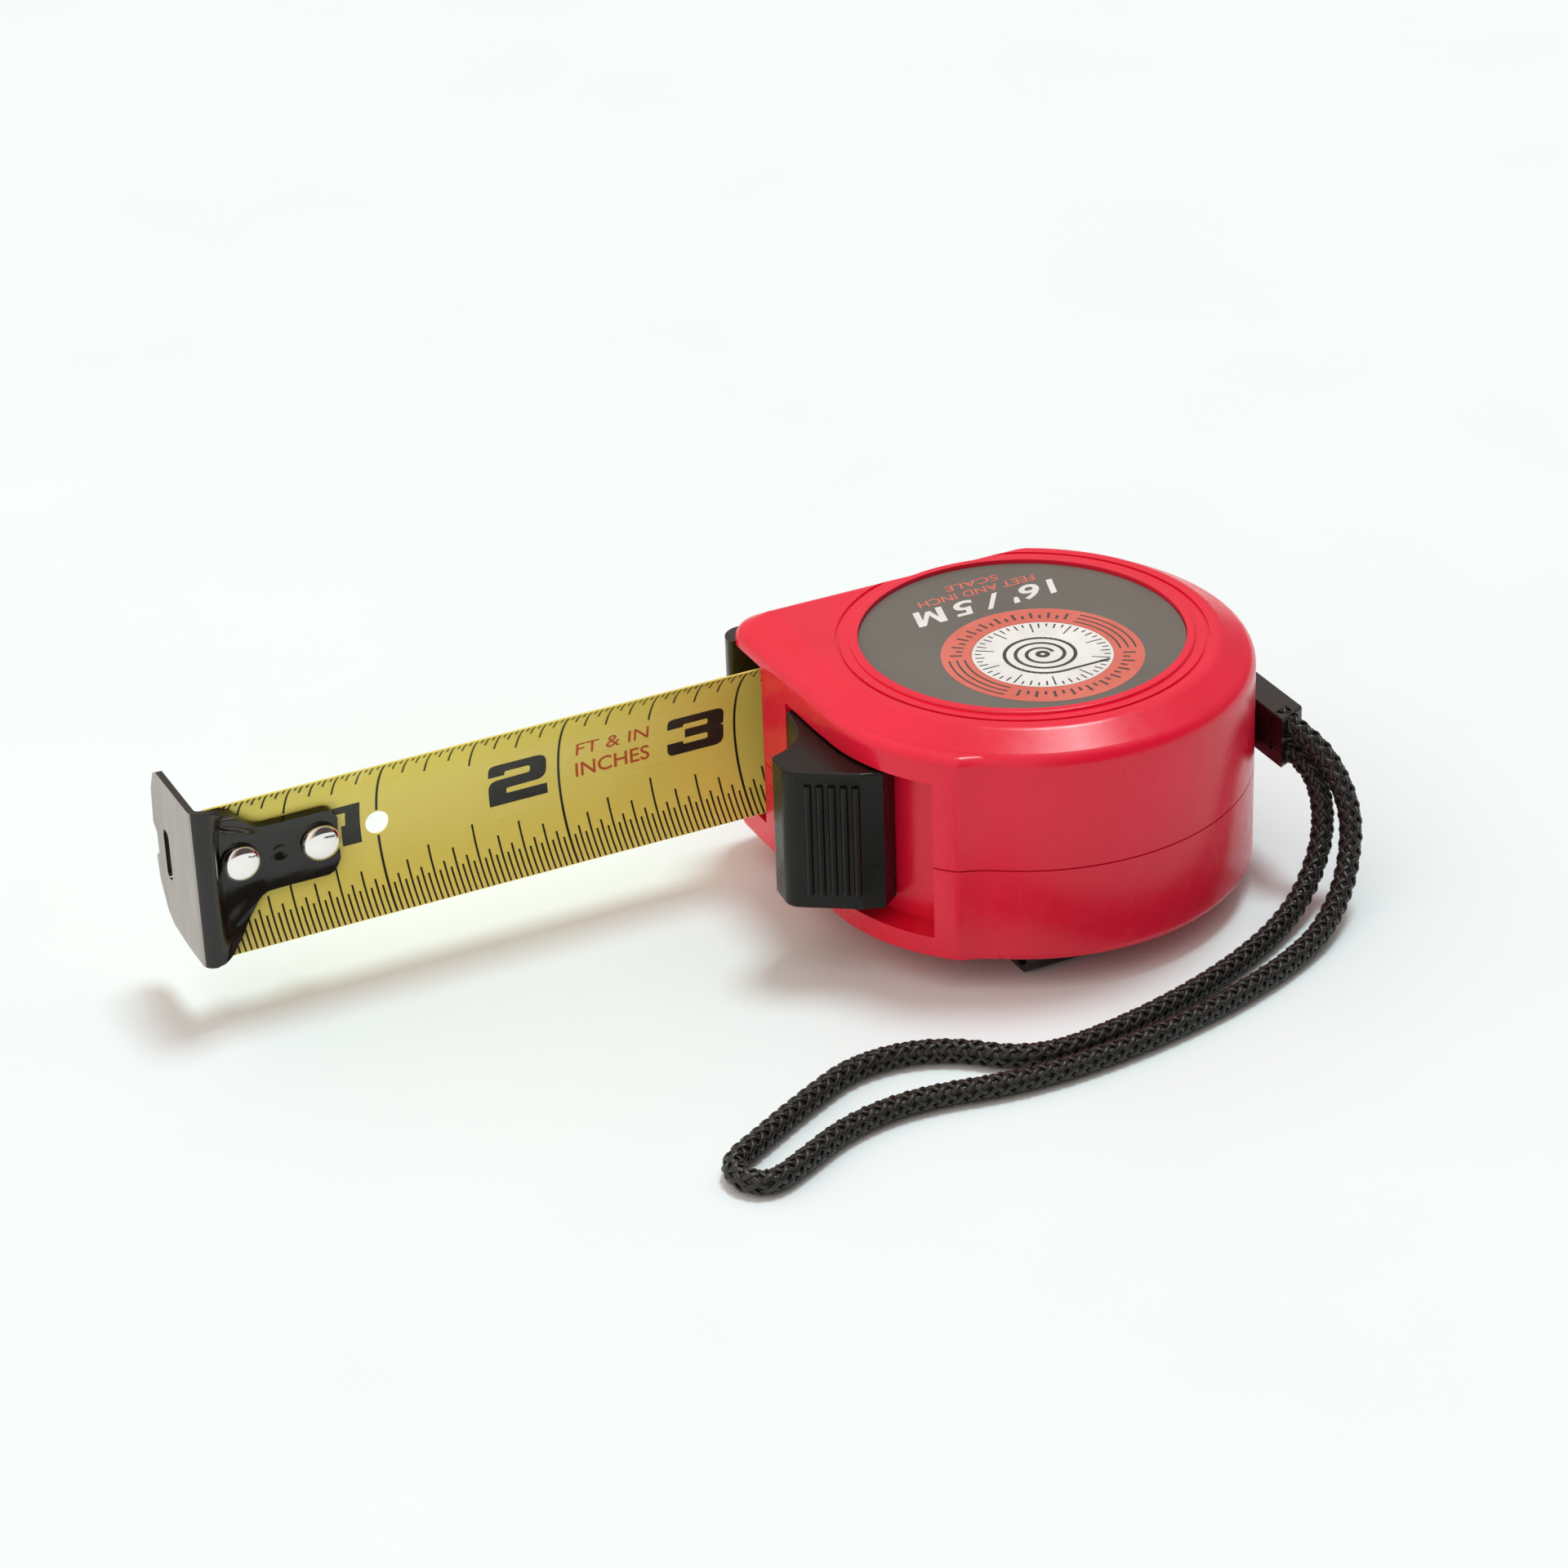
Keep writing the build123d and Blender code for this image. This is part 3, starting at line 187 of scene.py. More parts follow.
LOOKS = {
    "case_red": dict(dark=RED_DEEP, light=RED, rough=(0.20, 0.30), cloud=60, grain=(1800.0, 0.000003),
        waves=(110.0, 0.00006), Specular_IOR_Level=0.42),
    "trim_black": dict(dark=BLACK, light=BLACK_SOFT, rough=(0.16, 0.34), cloud=140,
        grain=(1600.0, 0.000012), waves=(260.0, 0.00012), marks=(700.0, 0.35, (0.06, 0.058, 0.055)),
        IOR=1.55),
    "button_black": dict(dark=(0.003, 0.0026, 0.0016), light=(0.007, 0.006, 0.004), rough=(0.24, 0.36),
        cloud=120, grain=(3200.0, 0.000006), waves=(160.0, 0.00005),
        marks=(900.0, 0.15, (0.03, 0.03, 0.025)), Specular_IOR_Level=0.28),
    "label": dict(dark=(0.120, 0.108, 0.092), light=(0.150, 0.136, 0.118), rough=(0.34, 0.46), cloud=50,
        grain=(4200.0, 0.000006), waves=(90.0, 0.00002), IOR=1.5),
    "blade_yellow": dict(dark=YELLOW_WARM, light=YELLOW, rough=(0.26, 0.38), cloud=45,
        stretch=(0.35, 1, 1), grain=(2600.0, 0.000006), waves=(70.0, 0.00010),
        marks=(1400.0, 0.18, (0.36, 0.27, 0.03)), IOR=1.5),
    "hook_black": dict(dark=BLACK, light=(0.016, 0.014, 0.011), rough=(0.10, 0.20), cloud=130,
        grain=(2200.0, 0.000008), waves=(240.0, 0.00010), marks=(800.0, 0.2, (0.08, 0.07, 0.06)),
        IOR=1.5),
    # painted reflection: the hook plate's outward face is grey metal, made lighter than the black hook to
    # stand in for the reflection on it
    "hook_face": dict(dark=(0.34, 0.30, 0.275), light=(0.46, 0.42, 0.39), rough=(0.30, 0.42), cloud=70,
        stretch=(1, 1, 0.2), grain=(2600.0, 0.000008), waves=(150.0, 0.00004),
        marks=(700.0, 0.35, (0.12, 0.10, 0.09)), Metallic=0.85),
    "rivet_steel": dict(dark=(0.86, 0.83, 0.80), light=(0.95, 0.92, 0.90), rough=(0.04, 0.12),
        cloud=300, grain=(3000.0, 0.000002), waves=(300.0, 0.00001),
        marks=(1500.0, 0.25, (0.4, 0.38, 0.36)), Metallic=1.0),
    "screw_steel": dict(dark=(0.10, 0.10, 0.10), light=(0.20, 0.20, 0.20), rough=(0.25, 0.42),
        cloud=300, grain=(3000.0, 0.000008), waves=(400.0, 0.00003),
        marks=(1500.0, 0.4, (0.4, 0.38, 0.36)), Metallic=1.0),
    "spring_steel": dict(dark=(0.30, 0.31, 0.33), light=(0.46, 0.48, 0.52), rough=(0.22, 0.38),
        cloud=200, stretch=(1, 1, 0.1), marks=(1500.0, 0.3, (0.2, 0.14, 0.08)), Metallic=1.0),
    "post_steel": dict(dark=(0.42, 0.42, 0.42), light=(0.58, 0.58, 0.57), rough=(0.28, 0.45), cloud=200,
        stretch=(1, 1, 0.15), Metallic=1.0),
    "inner_plastic": dict(dark=(0.030, 0.030, 0.032), light=(0.055, 0.055, 0.058), rough=(0.42, 0.58),
        grain=(1800.0, 0.00002)),
    "washer_plastic": dict(dark=(0.66, 0.64, 0.58), light=(0.78, 0.76, 0.70), rough=(0.40, 0.55),
        grain=(1800.0, 0.00002), Subsurface_Weight=0.1),
    "pad_rubber": dict(dark=(0.012, 0.012, 0.012), light=(0.03, 0.03, 0.029), rough=(0.6, 0.8),
        grain=(1500.0, 0.00004)),
    "clip_steel": dict(dark=(0.020, 0.019, 0.018), light=(0.05, 0.047, 0.045), rough=(0.28, 0.42),
        cloud=150, stretch=(1, 0.15, 1), grain=(2200.0, 0.00001), waves=(150.0, 0.00005),
        marks=(900.0, 0.4, (0.22, 0.21, 0.2)), Metallic=0.6),
    "cord_black": dict(dark=(0.006, 0.006, 0.005), light=(0.022, 0.020, 0.017), rough=(0.22, 0.40),
        cloud=900, grain=(6000.0, 0.00004), waves=(1500.0, 0.00005),
        marks=(2500.0, 0.3, (0.05, 0.046, 0.04)), Sheen_Weight=0.05, Sheen_Roughness=0.4),
    "ink": dict(dark=INK, light=INK_SOFT, rough=(0.30, 0.42), cloud=400, grain=(5000.0, 0.000006)),
    "ink_red": dict(dark=(0.56, 0.075, 0.010), light=(0.64, 0.11, 0.018), rough=(0.30, 0.42), cloud=400,
        grain=(5000.0, 0.000006)),
    "label_orange": dict(dark=(0.62, 0.12, 0.085), light=(0.70, 0.165, 0.12), rough=(0.34, 0.46),
        cloud=120, grain=(4200.0, 0.000006)),
    "label_white": dict(dark=(0.70, 0.68, 0.66), light=(0.84, 0.82, 0.81), rough=(0.34, 0.46),
        cloud=160, grain=(4200.0, 0.000006)),
    "label_ink": dict(dark=(0.035, 0.032, 0.030), light=(0.07, 0.065, 0.06), rough=(0.34, 0.46),
        cloud=300, grain=(4200.0, 0.000006)),
}


def make_materials():
    return {name: finish(name, **look) for name, look in LOOKS.items()}


# ================================================================ mesh helpers
def mesh_object(name, verts, faces, material, smooth=True):
    mesh = bpy.data.meshes.new(name)
    mesh.from_pydata(verts, [], faces)
    mesh.materials.append(material)
    obj = link(bpy.data.objects.new(name, mesh))
    if smooth:
        mesh.polygons.foreach_set("use_smooth", [True] * len(mesh.polygons))
    mesh.update()
    return obj


def grid_faces(rows, columns, start=0, flip=False):
    faces = []
    for i in range(rows - 1):
        for j in range(columns - 1):
            a = start + i * columns + j
            face = (a, a + 1, a + columns + 1, a + columns)
            faces.append(face[::-1] if flip else face)
    return faces


def face_outward(obj, merge=0.0):
    """Faces of a closed mesh turned outward, after joining points closer than merge."""
    model = bmesh.new()
    model.from_mesh(obj.data)
    if merge:
        bmesh.ops.remove_doubles(model, verts=model.verts, dist=merge)
    bmesh.ops.recalc_face_normals(model, faces=model.faces)
    model.to_mesh(obj.data)
    model.free()


def sheet_solid(name, front, back, material):
    """A closed thin solid between two grids of points; front and back are lists of rows."""
    rows, columns = len(front), len(front[0])
    verts = [p for row in front for p in row] + [p for row in back for p in row]
    other = rows * columns
    faces = grid_faces(rows, columns) + grid_faces(rows, columns, other, flip=True)
    rim = ([(0, j) for j in range(columns)] + [(i, columns - 1) for i in range(1, rows)]
           + [(rows - 1, j) for j in range(columns - 2, -1, -1)] + [(i, 0) for i in range(rows - 2, 0, -1)])
    for here, there in zip(rim, rim[1:] + rim[:1]):
        a, b = here[0] * columns + here[1], there[0] * columns + there[1]
        faces.append((b, a, a + other, b + other))
    obj = mesh_object(name, verts, faces, material)
    face_outward(obj)
    return obj


def apply_modifiers(obj):
    """The object's own mesh becomes what its modifiers make of it."""
    graph = bpy.context.evaluated_depsgraph_get()
    mesh = bpy.data.meshes.new_from_object(obj.evaluated_get(graph))
    obj.modifiers.clear()
    obj.data = mesh


def sharpen(obj, angle=35):
    """Faces stay smooth across soft edges and break at sharp ones."""
    with bpy.context.temp_override(object=obj, active_object=obj, selected_editable_objects=[obj]):
        bpy.ops.object.shade_smooth_by_angle(angle=math.radians(angle), keep_sharp_edges=True)


def cut(obj, cutter):
    modifier = obj.modifiers.new("cut", "BOOLEAN")
    modifier.operation = "DIFFERENCE"
    modifier.solver = "EXACT"
    modifier.object = cutter
    apply_modifiers(obj)
    bpy.data.objects.remove(cutter)


def prism(name, outline, axis, low, high):
    """A cutter: an outline across the axis, from low to high along it. mm in, metres out."""
    def place(a, b, c):
        point = [a, b]
        point.insert(axis, c)
        return Vector(point) * MM
    count = len(outline)
    verts = [place(a, b, low) for a, b in outline] + [place(a, b, high) for a, b in outline]
    faces = [tuple(range(count)), tuple(range(2 * count - 1, count - 1, -1))]
    faces += [(i, (i + 1) % count, count + (i + 1) % count, count + i) for i in range(count)]
    obj = mesh_object(name, verts, faces, bpy.data.materials[0], smooth=False)
    face_outward(obj)
    return obj


def ring_points(x, y, radius, count=40, start=0.0, sweep=2 * math.pi):
    turns = [start + sweep * k / count for k in range(count + (sweep < 2 * math.pi))]
    return [(x + radius * math.cos(turn), y + radius * math.sin(turn)) for turn in turns]


# ================================================================ blade
def section_point(x, across, lift):
    """A point of the blade in metres: across is its place on the arc, lift its height on the crown side."""
    share = min(max((x - FLATTEN_FROM_X) / (FLATTEN_TO_X - FLATTEN_FROM_X), 0), 1)
    crown = CROWN_Y + (COIL_Y - CROWN_Y) * share
    radius = SECTION_R / max(1 - share, 0.02)
    turn = across / radius
    reach = radius + lift
    return Vector((x, crown - radius + reach * math.cos(turn), MID_Z + reach * math.sin(turn))) * MM


def blade_strip(name, start, end, step, material):
    count = max(2, round((end - start) / step) + 1)
    stations = [start + (end - start) * i / (count - 1) for i in range(count)]
    arcs = [-BLADE_HALF + 2 * BLADE_HALF * j / 48 for j in range(49)]
    front = [[section_point(x, v, -BLADE_THICK / 2) for v in arcs] for x in stations]
    back = [[section_point(x, v, BLADE_THICK / 2) for v in arcs] for x in stations]
    return sheet_solid(name, front, back, material)


# ================================================================ print
class Flat:
    """Flat printed shapes, gathered in one plane in mm, then cut up and laid on a surface."""

    def __init__(self):
        self.model = bmesh.new()

    def polygon(self, points):
        self.model.faces.new([self.model.verts.new((x, y, 0)) for x, y in points]).normal_update()

    def bar(self, x, y, wide, high):
        self.polygon([(x, y), (x + wide, y), (x + wide, y + high), (x, y + high)])

    def band(self, x, y, inner, outer, start=0.0, sweep=2 * math.pi, count=96):
        """A ring, or part of one."""
        whole = abs(sweep - 2 * math.pi) < 1e-6
        number = count if whole else count + 1
        turns = [start + sweep * k / count for k in range(number)]
        rings = [[self.model.verts.new((x + r * math.cos(t), y + r * math.sin(t), 0)) for t in turns]
                 for r in (inner, outer)]
        for k in range(count):
            nxt = (k + 1) % number
            self.model.faces.new((rings[0][k], rings[1][k], rings[1][nxt], rings[0][nxt]))

    def words(self, body, x, y, wide, high, bold=0.0, slant=0.0, turned=False):
        """Lettering fitted to a box; turned puts its top towards -y."""
        curve = bpy.data.curves.new("words", "FONT")
        curve.body = body
        curve.offset = bold
        curve.shear = slant
        curve.resolution_u = 4
        holder = link(bpy.data.objects.new("words", curve))
        bpy.context.view_layer.update()
        mesh = bpy.data.meshes.new_from_object(holder.evaluated_get(bpy.context.evaluated_depsgraph_get()))
        xs = [v.co.x for v in mesh.vertices]
        ys = [v.co.y for v in mesh.vertices]
        for vert in mesh.vertices:
            across = (vert.co.x - min(xs)) / (max(xs) - min(xs)) * wide
            up = (vert.co.y - min(ys)) / (max(ys) - min(ys)) * high
            vert.co = (x + wide - across, y + high - up, 0) if turned else (x + across, y + up, 0)
        self.model.from_mesh(mesh)
        bpy.data.objects.remove(holder)
        bpy.data.curves.remove(curve)
        bpy.data.meshes.remove(mesh)

    def split(self, axis, positions):
        normal = (1, 0, 0) if axis == 0 else (0, 1, 0)
        for position in positions:
            geometry = self.model.verts[:] + self.model.edges[:] + self.model.faces[:]
            bmesh.ops.bisect_plane(self.model, geom=geometry, plane_co=[c * position for c in normal],
                                   plane_no=normal, dist=1e-5)

    def lay(self, name, place, material, keep=None):
        """A new object of the shapes whose middle keep accepts, each vertex put where place says."""
        model = self.model.copy()
        if keep:
            away = [f for f in model.faces if not keep(f.calc_center_median())]
            bmesh.ops.delete(model, geom=away, context="FACES")
        bmesh.ops.remove_doubles(model, verts=model.verts, dist=1e-5)
        for vert in model.verts:
            vert.co = place(vert.co.x, vert.co.y)
        mesh = bpy.data.meshes.new(name)
        model.to_mesh(mesh)
        model.free()
        mesh.materials.append(material)
        mesh.polygons.foreach_set("use_smooth", [True] * len(mesh.polygons))
        return link(bpy.data.objects.new(name, mesh))


def rounded(corners, scale=(1, 1), at=(0, 0), count=5):
    """An outline whose corners (x, y, radius) are rounded off."""
    outline = []
    total = len(corners)
    for i, (x, y, radius) in enumerate(corners):
        here = Vector((x, y))
        before = Vector(corners[i - 1][:2]) - here
        after = Vector(corners[(i + 1) % total][:2]) - here
        reach = min(radius, before.length * 0.49, after.length * 0.49)
        if reach < 0.02:
            outline.append(here)
            continue
        a, b = here + before.normalized() * reach, here + after.normalized() * reach
        for k in range(count + 1):
            t = k / count
            outline.append(a * (1 - t) ** 2 + here * 2 * t * (1 - t) + b * t**2)
    return [(at[0] + p.x * scale[0], at[1] + p.y * scale[1]) for p in outline]


FIGURES = {
    # the 1's wider foot, left of its bar below 2.9 mm, is painted shadow of the tongue's end drawn in ink
    "1": [(2.0, 0, .05), (4.6, 0, .05), (4.6, 6.1, .1), (0, 6.1, .05), (0, 4.9, .05), (2.6, 4.9, .1),
          (2.6, 2.9, .1), (2.0, 2.9, .05)],
    "2": [(0, 0, .05), (8.2, 0, .05), (8.2, 1.45, .05), (2.5, 1.45, .1), (2.5, 2.2, .3), (8.2, 2.3, 1.5),
          (8.2, 6.2, 1.6), (0, 6.2, 1.6), (0, 4.25, .05), (2.3, 4.25, .05), (2.3, 4.85, .4), (5.9, 4.85, .4),
          (5.9, 3.75, .4), (0, 3.65, 1.4)],
    "3": [(0, 0, 1.6), (8.2, 0, 1.6), (8.2, 2.75, .9), (7.7, 2.9, .1), (8.2, 3.05, .9), (8.2, 5.7, 1.6),
          (0, 5.7, 1.6), (0, 4.0, .05), (2.3, 4.0, .05), (2.3, 4.4, .35), (5.9, 4.4, .35), (5.9, 3.5, .35),
          (2.6, 3.5, .05), (2.6, 2.2, .05), (5.9, 2.2, .35), (5.9, 1.3, .35), (2.3, 1.3, .35),
          (2.3, 1.75, .05), (0, 1.75, .05)],
}
FIGURE_AT = (("1", -89.2, -2.2), ("2", -66.8, -2.1), ("3", -41.3, -1.5))
PARTS = 32                      # marks to the inch
LAST_MARK_X = -18
LINE_WIDE = 0.34                # the inch lines
MARK_WIDE = 0.27
HOLE_MARGIN = 0.25              # an inch line stops this far from the hole
PRINT_STEP = 0.6                # print is cut this fine across the blade, so that it follows the curve
LOWER_REACH = (-0.9, -3.7, -4.8, -6.0, -7.4, -8.4)      # inch, 1/2, 1/4, 1/8, 1/16, 1/32 marks end here
UPPER_REACH = (2.0, 5.4, 6.8, 7.8, 9.6, 10.8)


def make_blade(made):
    """The blade's two runs and its print. The inner run shortens as the blade goes in."""
    outer = blade_strip("blade_outer_strip", BLADE_TIP_X, INNER_START_X, 2.0, made["blade_yellow"])
    hole = prism("hole", ring_points(HOLE_X, MID_Z, HOLE_R), 1, CROWN_Y - 4, CROWN_Y + 4)
    cut(outer, hole)
    sharpen(outer)
    inner = blade_strip("blade_inner_strip", INNER_START_X, 0.0, 1.6, made["blade_yellow"])
    sharpen(inner)

    scale = Flat()
    for number in range(2, PARTS * 4):
        x = HOOK_FACE_X + number * INCH / PARTS
        rank = next(r for r, part in enumerate((32, 16, 8, 4, 2, 1)) if number % part == 0)
        if rank == 0:
            gap = HOLE_R + HOLE_MARGIN
            whole, parted = [(-BLADE_HALF, BLADE_HALF)], [(-BLADE_HALF, -gap), (gap, BLADE_HALF)]
            for low, high in parted if number == PARTS else whole:
                scale.bar(x - LINE_WIDE / 2, low, LINE_WIDE, high - low)
            continue
        if x > LAST_MARK_X:
            break
        scale.bar(x - MARK_WIDE / 2, -BLADE_HALF, MARK_WIDE, LOWER_REACH[rank] + BLADE_HALF)
        scale.bar(x - MARK_WIDE / 2, UPPER_REACH[rank], MARK_WIDE, BLADE_HALF - UPPER_REACH[rank])
    for figure, x, v in FIGURE_AT:
        scale.polygon(rounded(FIGURES[figure], at=(x, v)))
    caption = Flat()
    caption.words("FT & IN", -54.4, 2.25, 10.4, 2.0, bold=0.004)
    caption.words("INCHES", -54.5, -1.0, 10.6, 2.1, bold=0.01)
    cuts = [-12 + PRINT_STEP * k for k in range(41)]
    for flat in (scale, caption):
        bmesh.ops.triangulate(flat.model, faces=flat.model.faces)
        flat.split(1, cuts)
        flat.split(0, [INNER_START_X])

    def on_blade(x, v):
        return section_point(x, v, -BLADE_THICK / 2 - PRINT_LIFT)

    marks_outer = scale.lay("scale_print_outer", on_blade, made["ink"], lambda c: c.x < INNER_START_X)
    marks_inner = scale.lay("scale_print_inner", on_blade, made["ink"], lambda c: c.x > INNER_START_X)
    words = caption.lay("scale_caption", on_blade, made["ink_red"])
    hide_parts("blade_outer_run")
    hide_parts("blade_inner_run")
    for piece in (outer, marks_outer, inner, marks_inner, words):
        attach(piece, "blade")
    for piece in (inner, marks_inner, words):
        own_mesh(piece)


# ================================================================ hook
HOOK_HALVES = ((0, 11.1), (1.5, 10.9), (3.0, 10.2), (4.2, 9.4), (5.1, 8.65), (6.4, 7.1), (7.8, 5.6),
               (8.6, 5.1), (9.5, 4.85), (12.0, 4.8), (17.8, 4.8), (18.6, 4.5), (19.3, 3.7), (19.7, 3.0))
PLATE_END = ((8.6, 21.5), (9.2, 27.5), (10.3, 29.4), (14.0, 31.6), (17.4, 32.0), (18.2, 30.8), (21.2, 30.8),
             (22.2, 32.0), (27.4, 31.4), (30.2, 30.0), (31.2, 28.0))     # height, outer edge
BEND_R = 1.1
PLATE_X = -108.25
BEND_X = PLATE_X + BEND_R
LIP_Y = 15.9                    # the fold is straight here, then the tongue swells into the blade's curve
LIP_FROM, LIP_TO = 0.9, 3.6
SHEET = 0.9
FOLD_START, FOLD_SLANT = 43, 2.6        # degrees round the tongue at the face, and how many less each mm
FOLD_WIDE, FOLD_DEEP = 4.0, 0.45        # degrees, mm
FOLD_AT, FOLD_LONG = 5.0, 4.6           # mm from the face where it is deepest, and its reach each way
DIMPLE_AT, DIMPLE_R, DIMPLE_DEEP = 11.8, 1.3, 0.5
SLOT_Y, SLOT_HALF, SLOT_R = 27.0, 2.6, 1.0
RIVET_PROFILE = (               # radius, height over the seat
    (0.0, 1.0), (0.5, 0.99), (1.0, 0.95), (1.5, 0.88), (1.95, 0.76), (2.3, 0.58), (2.52, 0.34), (2.6, 0.1),
    (2.58, -0.1), (1.2, -0.15), (1.2, -1.9), (2.0, -1.95), (1.95, -2.35), (1.5, -2.6), (0.0, -2.65))


def interpolate(table, value):
    for (x0, y0), (x1, y1) in zip(table, table[1:]):
        if value <= x1:
            return y0 + (y1 - y0) * (value - x0) / (x1 - x0)
    return table[-1][1]


def hook_point(station, side):
    """The middle of the formed sheet: station 0..1 is the plate, 1..2 the bend, 2..3 the tongue."""
    if station > 2:
        along = BEND_X + (station - 2) * (HOOK_FACE_X + TONGUE_LONG - BEND_X)
        from_face = along - HOOK_FACE_X
        height = side * interpolate(HOOK_HALVES, from_face)
        across = math.degrees(math.asin(height / TONGUE_R))
        # pressed folds that run from the bend's corners to the tongue
        fold_at = FOLD_START - FOLD_SLANT * from_face
        fold = math.exp(-((abs(across) - fold_at) / FOLD_WIDE) ** 2)
        fold *= FOLD_DEEP * max(0, 1 - abs(from_face - FOLD_AT) / FOLD_LONG)
        dimple = math.hypot(from_face - DIMPLE_AT, height)
        dip = DIMPLE_DEEP * max(0.0, 1 - (dimple / DIMPLE_R) ** 2)
        curved = SECTION_Y + math.sqrt(TONGUE_R**2 - height**2) - fold + dip
        share = min(max((from_face - LIP_FROM) / (LIP_TO - LIP_FROM), 0), 1)
        share = share * share * (3 - 2 * share)
        return Vector((along, LIP_Y + (curved - LIP_Y) * share, MID_Z + height))
    height = MID_Z + side * HOOK_HALVES[0][1]
    if station > 1:
        swing = (2 - station) * math.pi / 2
        return Vector((BEND_X - BEND_R * math.sin(swing), LIP_Y + BEND_R * (1 - math.cos(swing)), height))
    inner = LIP_Y + BEND_R
    return Vector((PLATE_X, inner + (interpolate(PLATE_END, height) - inner) * (1 - station), height))


def make_hook(made):
    stations = ([i / 22 for i in range(23)] + [1 + i / 10 for i in range(1, 11)]
                + [2 + i / 64 for i in range(1, 65)])
    sides = [math.sin(math.pi / 2 * (-1 + j / 36)) * 0.35 + (-1 + j / 36) * 0.65 for j in range(73)]
    rows = [[hook_point(s, a) * MM for a in sides] for s in stations]
    verts = [p for row in rows for p in row]
    hook = mesh_object("formed_hook", verts, grid_faces(len(rows), len(sides)), made["hook_black"])
    hook.data.materials.append(made["hook_face"])
    solid = hook.modifiers.new("sheet", "SOLIDIFY")
    solid.thickness = SHEET * MM
    solid.offset = 0
    solid.use_even_offset = True
    edge = hook.modifiers.new("edge", "BEVEL")
    edge.width = 0.22 * MM
    edge.segments = 3
    edge.angle_limit = math.radians(50)
    apply_modifiers(hook)
    slot = (ring_points(SLOT_Y, MID_Z + SLOT_HALF, SLOT_R, 12, 0.0, math.pi)
            + ring_points(SLOT_Y, MID_Z - SLOT_HALF, SLOT_R, 12, math.pi, math.pi))
    cut(hook, prism("slot", slot, 0, PLATE_X - 3, PLATE_X + 3))
    # faces turned outward on the plate take the lighter grey finish, a painted reflection
    for polygon in hook.data.polygons:
        if polygon.normal.x < -0.8 and polygon.center.x < (PLATE_X - 0.3) * MM:
            polygon.material_index = 1
    sharpen(hook, 40)
    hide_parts("end_hook")
    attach(hook, "hook")

    # rivets: low polished domes with a turned-down rim
    verts, faces = [], []
    ring = 48
    for x in RIVET_XS:
        start = len(verts)
        for radius, height in RIVET_PROFILE:
            for k in range(ring):
                turn = 2 * math.pi * k / ring
                verts.append(Vector((x + radius * math.cos(turn), RIVET_SEAT_Y - height,
                                     MID_Z + radius * math.sin(turn))) * MM)
        for i in range(len(RIVET_PROFILE) - 1):
            for k in range(ring):
                a, b = start + i * ring + k, start + i * ring + (k + 1) % ring
                faces.append((a, a + ring, b + ring, b))
    rivets = mesh_object("rivet_domes", verts, faces, made["rivet_steel"])
    face_outward(rivets, merge=1e-7)
    sharpen(rivets, 40)
    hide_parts("hook_rivets")
    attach(rivets, "blade")


# ================================================================ label print
LABEL_Z = 35.3
LETTER_M = ((0, 0), (0.22, 0), (0.22, 0.62), (0.42, 0.12), (0.58, 0.12), (0.78, 0.62), (0.78, 0), (1, 0),
            (1, 1), (0.74, 1), (0.5, 0.40), (0.26, 1), (0, 1))
RING_AT = (-0.3, -6.05)
RING_R = (9.15, 13.1)
DISC_R = 9.1
SIDE_TURNS = (0.15, math.pi + 0.15)     # the ring's two sides, where it has arcs
ARC_RADII = (10.1, 11.1, 12.1)
LINE = 0.13                             # half the width of the arcs
SPIRAL_TURNS, SPIRAL_STEPS = 2.75, 120
SPIRAL_R = (1.5, 5.4)
SPIRAL_HALF = 0.24
PRINT_RAISED = (0.02, 0.035)            # colours, and ink over them


def make_label_print(made):
    orange, white, dark = Flat(), Flat(), Flat()
    x, y = RING_AT
    orange.band(x, y, *RING_R)
    white.band(x, y, 0.0005, DISC_R)
    # thin arcs at the ring's two sides, short dashes between them
    for middle in SIDE_TURNS:
        for radius in ARC_RADII:
            dark.band(x, y, radius - LINE, radius + LINE, middle - 0.5, 1.0, 28)
    for k in range(60):
        turn = 2 * math.pi * (k + 0.5) / 60
        beside = min(abs((turn - side + math.pi) % (2 * math.pi) - math.pi) for side in SIDE_TURNS)
        if beside > 0.62:
            dark.band(x, y, 10.3, 11.9 if k % 2 else 11.2, turn - 0.016, 0.032, 2)
    # a dial and a wound strip in the middle
    for k in range(50):
        turn = 2 * math.pi * k / 50
        reach = (6.3, 7.9, 7.5, 7.9, 7.5)[k % 5]
        dark.band(x, y, reach, 8.7, turn - 0.014, 0.028, 2)
    sweep = 2 * math.pi * SPIRAL_TURNS / SPIRAL_STEPS
    for k in range(SPIRAL_STEPS):
        radius = SPIRAL_R[0] + (SPIRAL_R[1] - SPIRAL_R[0]) * k / SPIRAL_STEPS
        dark.band(x, y, radius - SPIRAL_HALF, radius + SPIRAL_HALF, sweep * k, sweep * 1.08, 1)
    dark.band(x, y, 0.3, 0.95)
    dark.bar(x, y - 5.64, 6.8, 0.48)
    white.words("16' / 5", -4.7, 8.5, 16.1, 4.1, bold=0.02, slant=0.28, turned=True)
    white.polygon([(-5.2 - 4.2 * u - 1.1 * v, 12.6 - 4.1 * v) for u, v in LETTER_M])
    orange.words("FEET AND INCH", -7.8, 13.3, 17.6, 1.75, bold=0.01, slant=0.2, turned=True)
    orange.words("SCALE", -2.6, 15.8, 8.2, 1.6, bold=0.01, slant=0.2, turned=True)

    def flat_at(height):
        return lambda px, py: Vector((px, py, LABEL_Z + height)) * MM

    for flat, name, height, material in ((orange, "label_print_orange", PRINT_RAISED[0], "label_orange"),
                                         (white, "label_print_white", PRINT_RAISED[0], "label_white"),
                                         (dark, "label_print_dark", PRINT_RAISED[1], "label_ink")):
        piece = flat.lay(name, flat_at(height), made[material])
        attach(piece, "case")


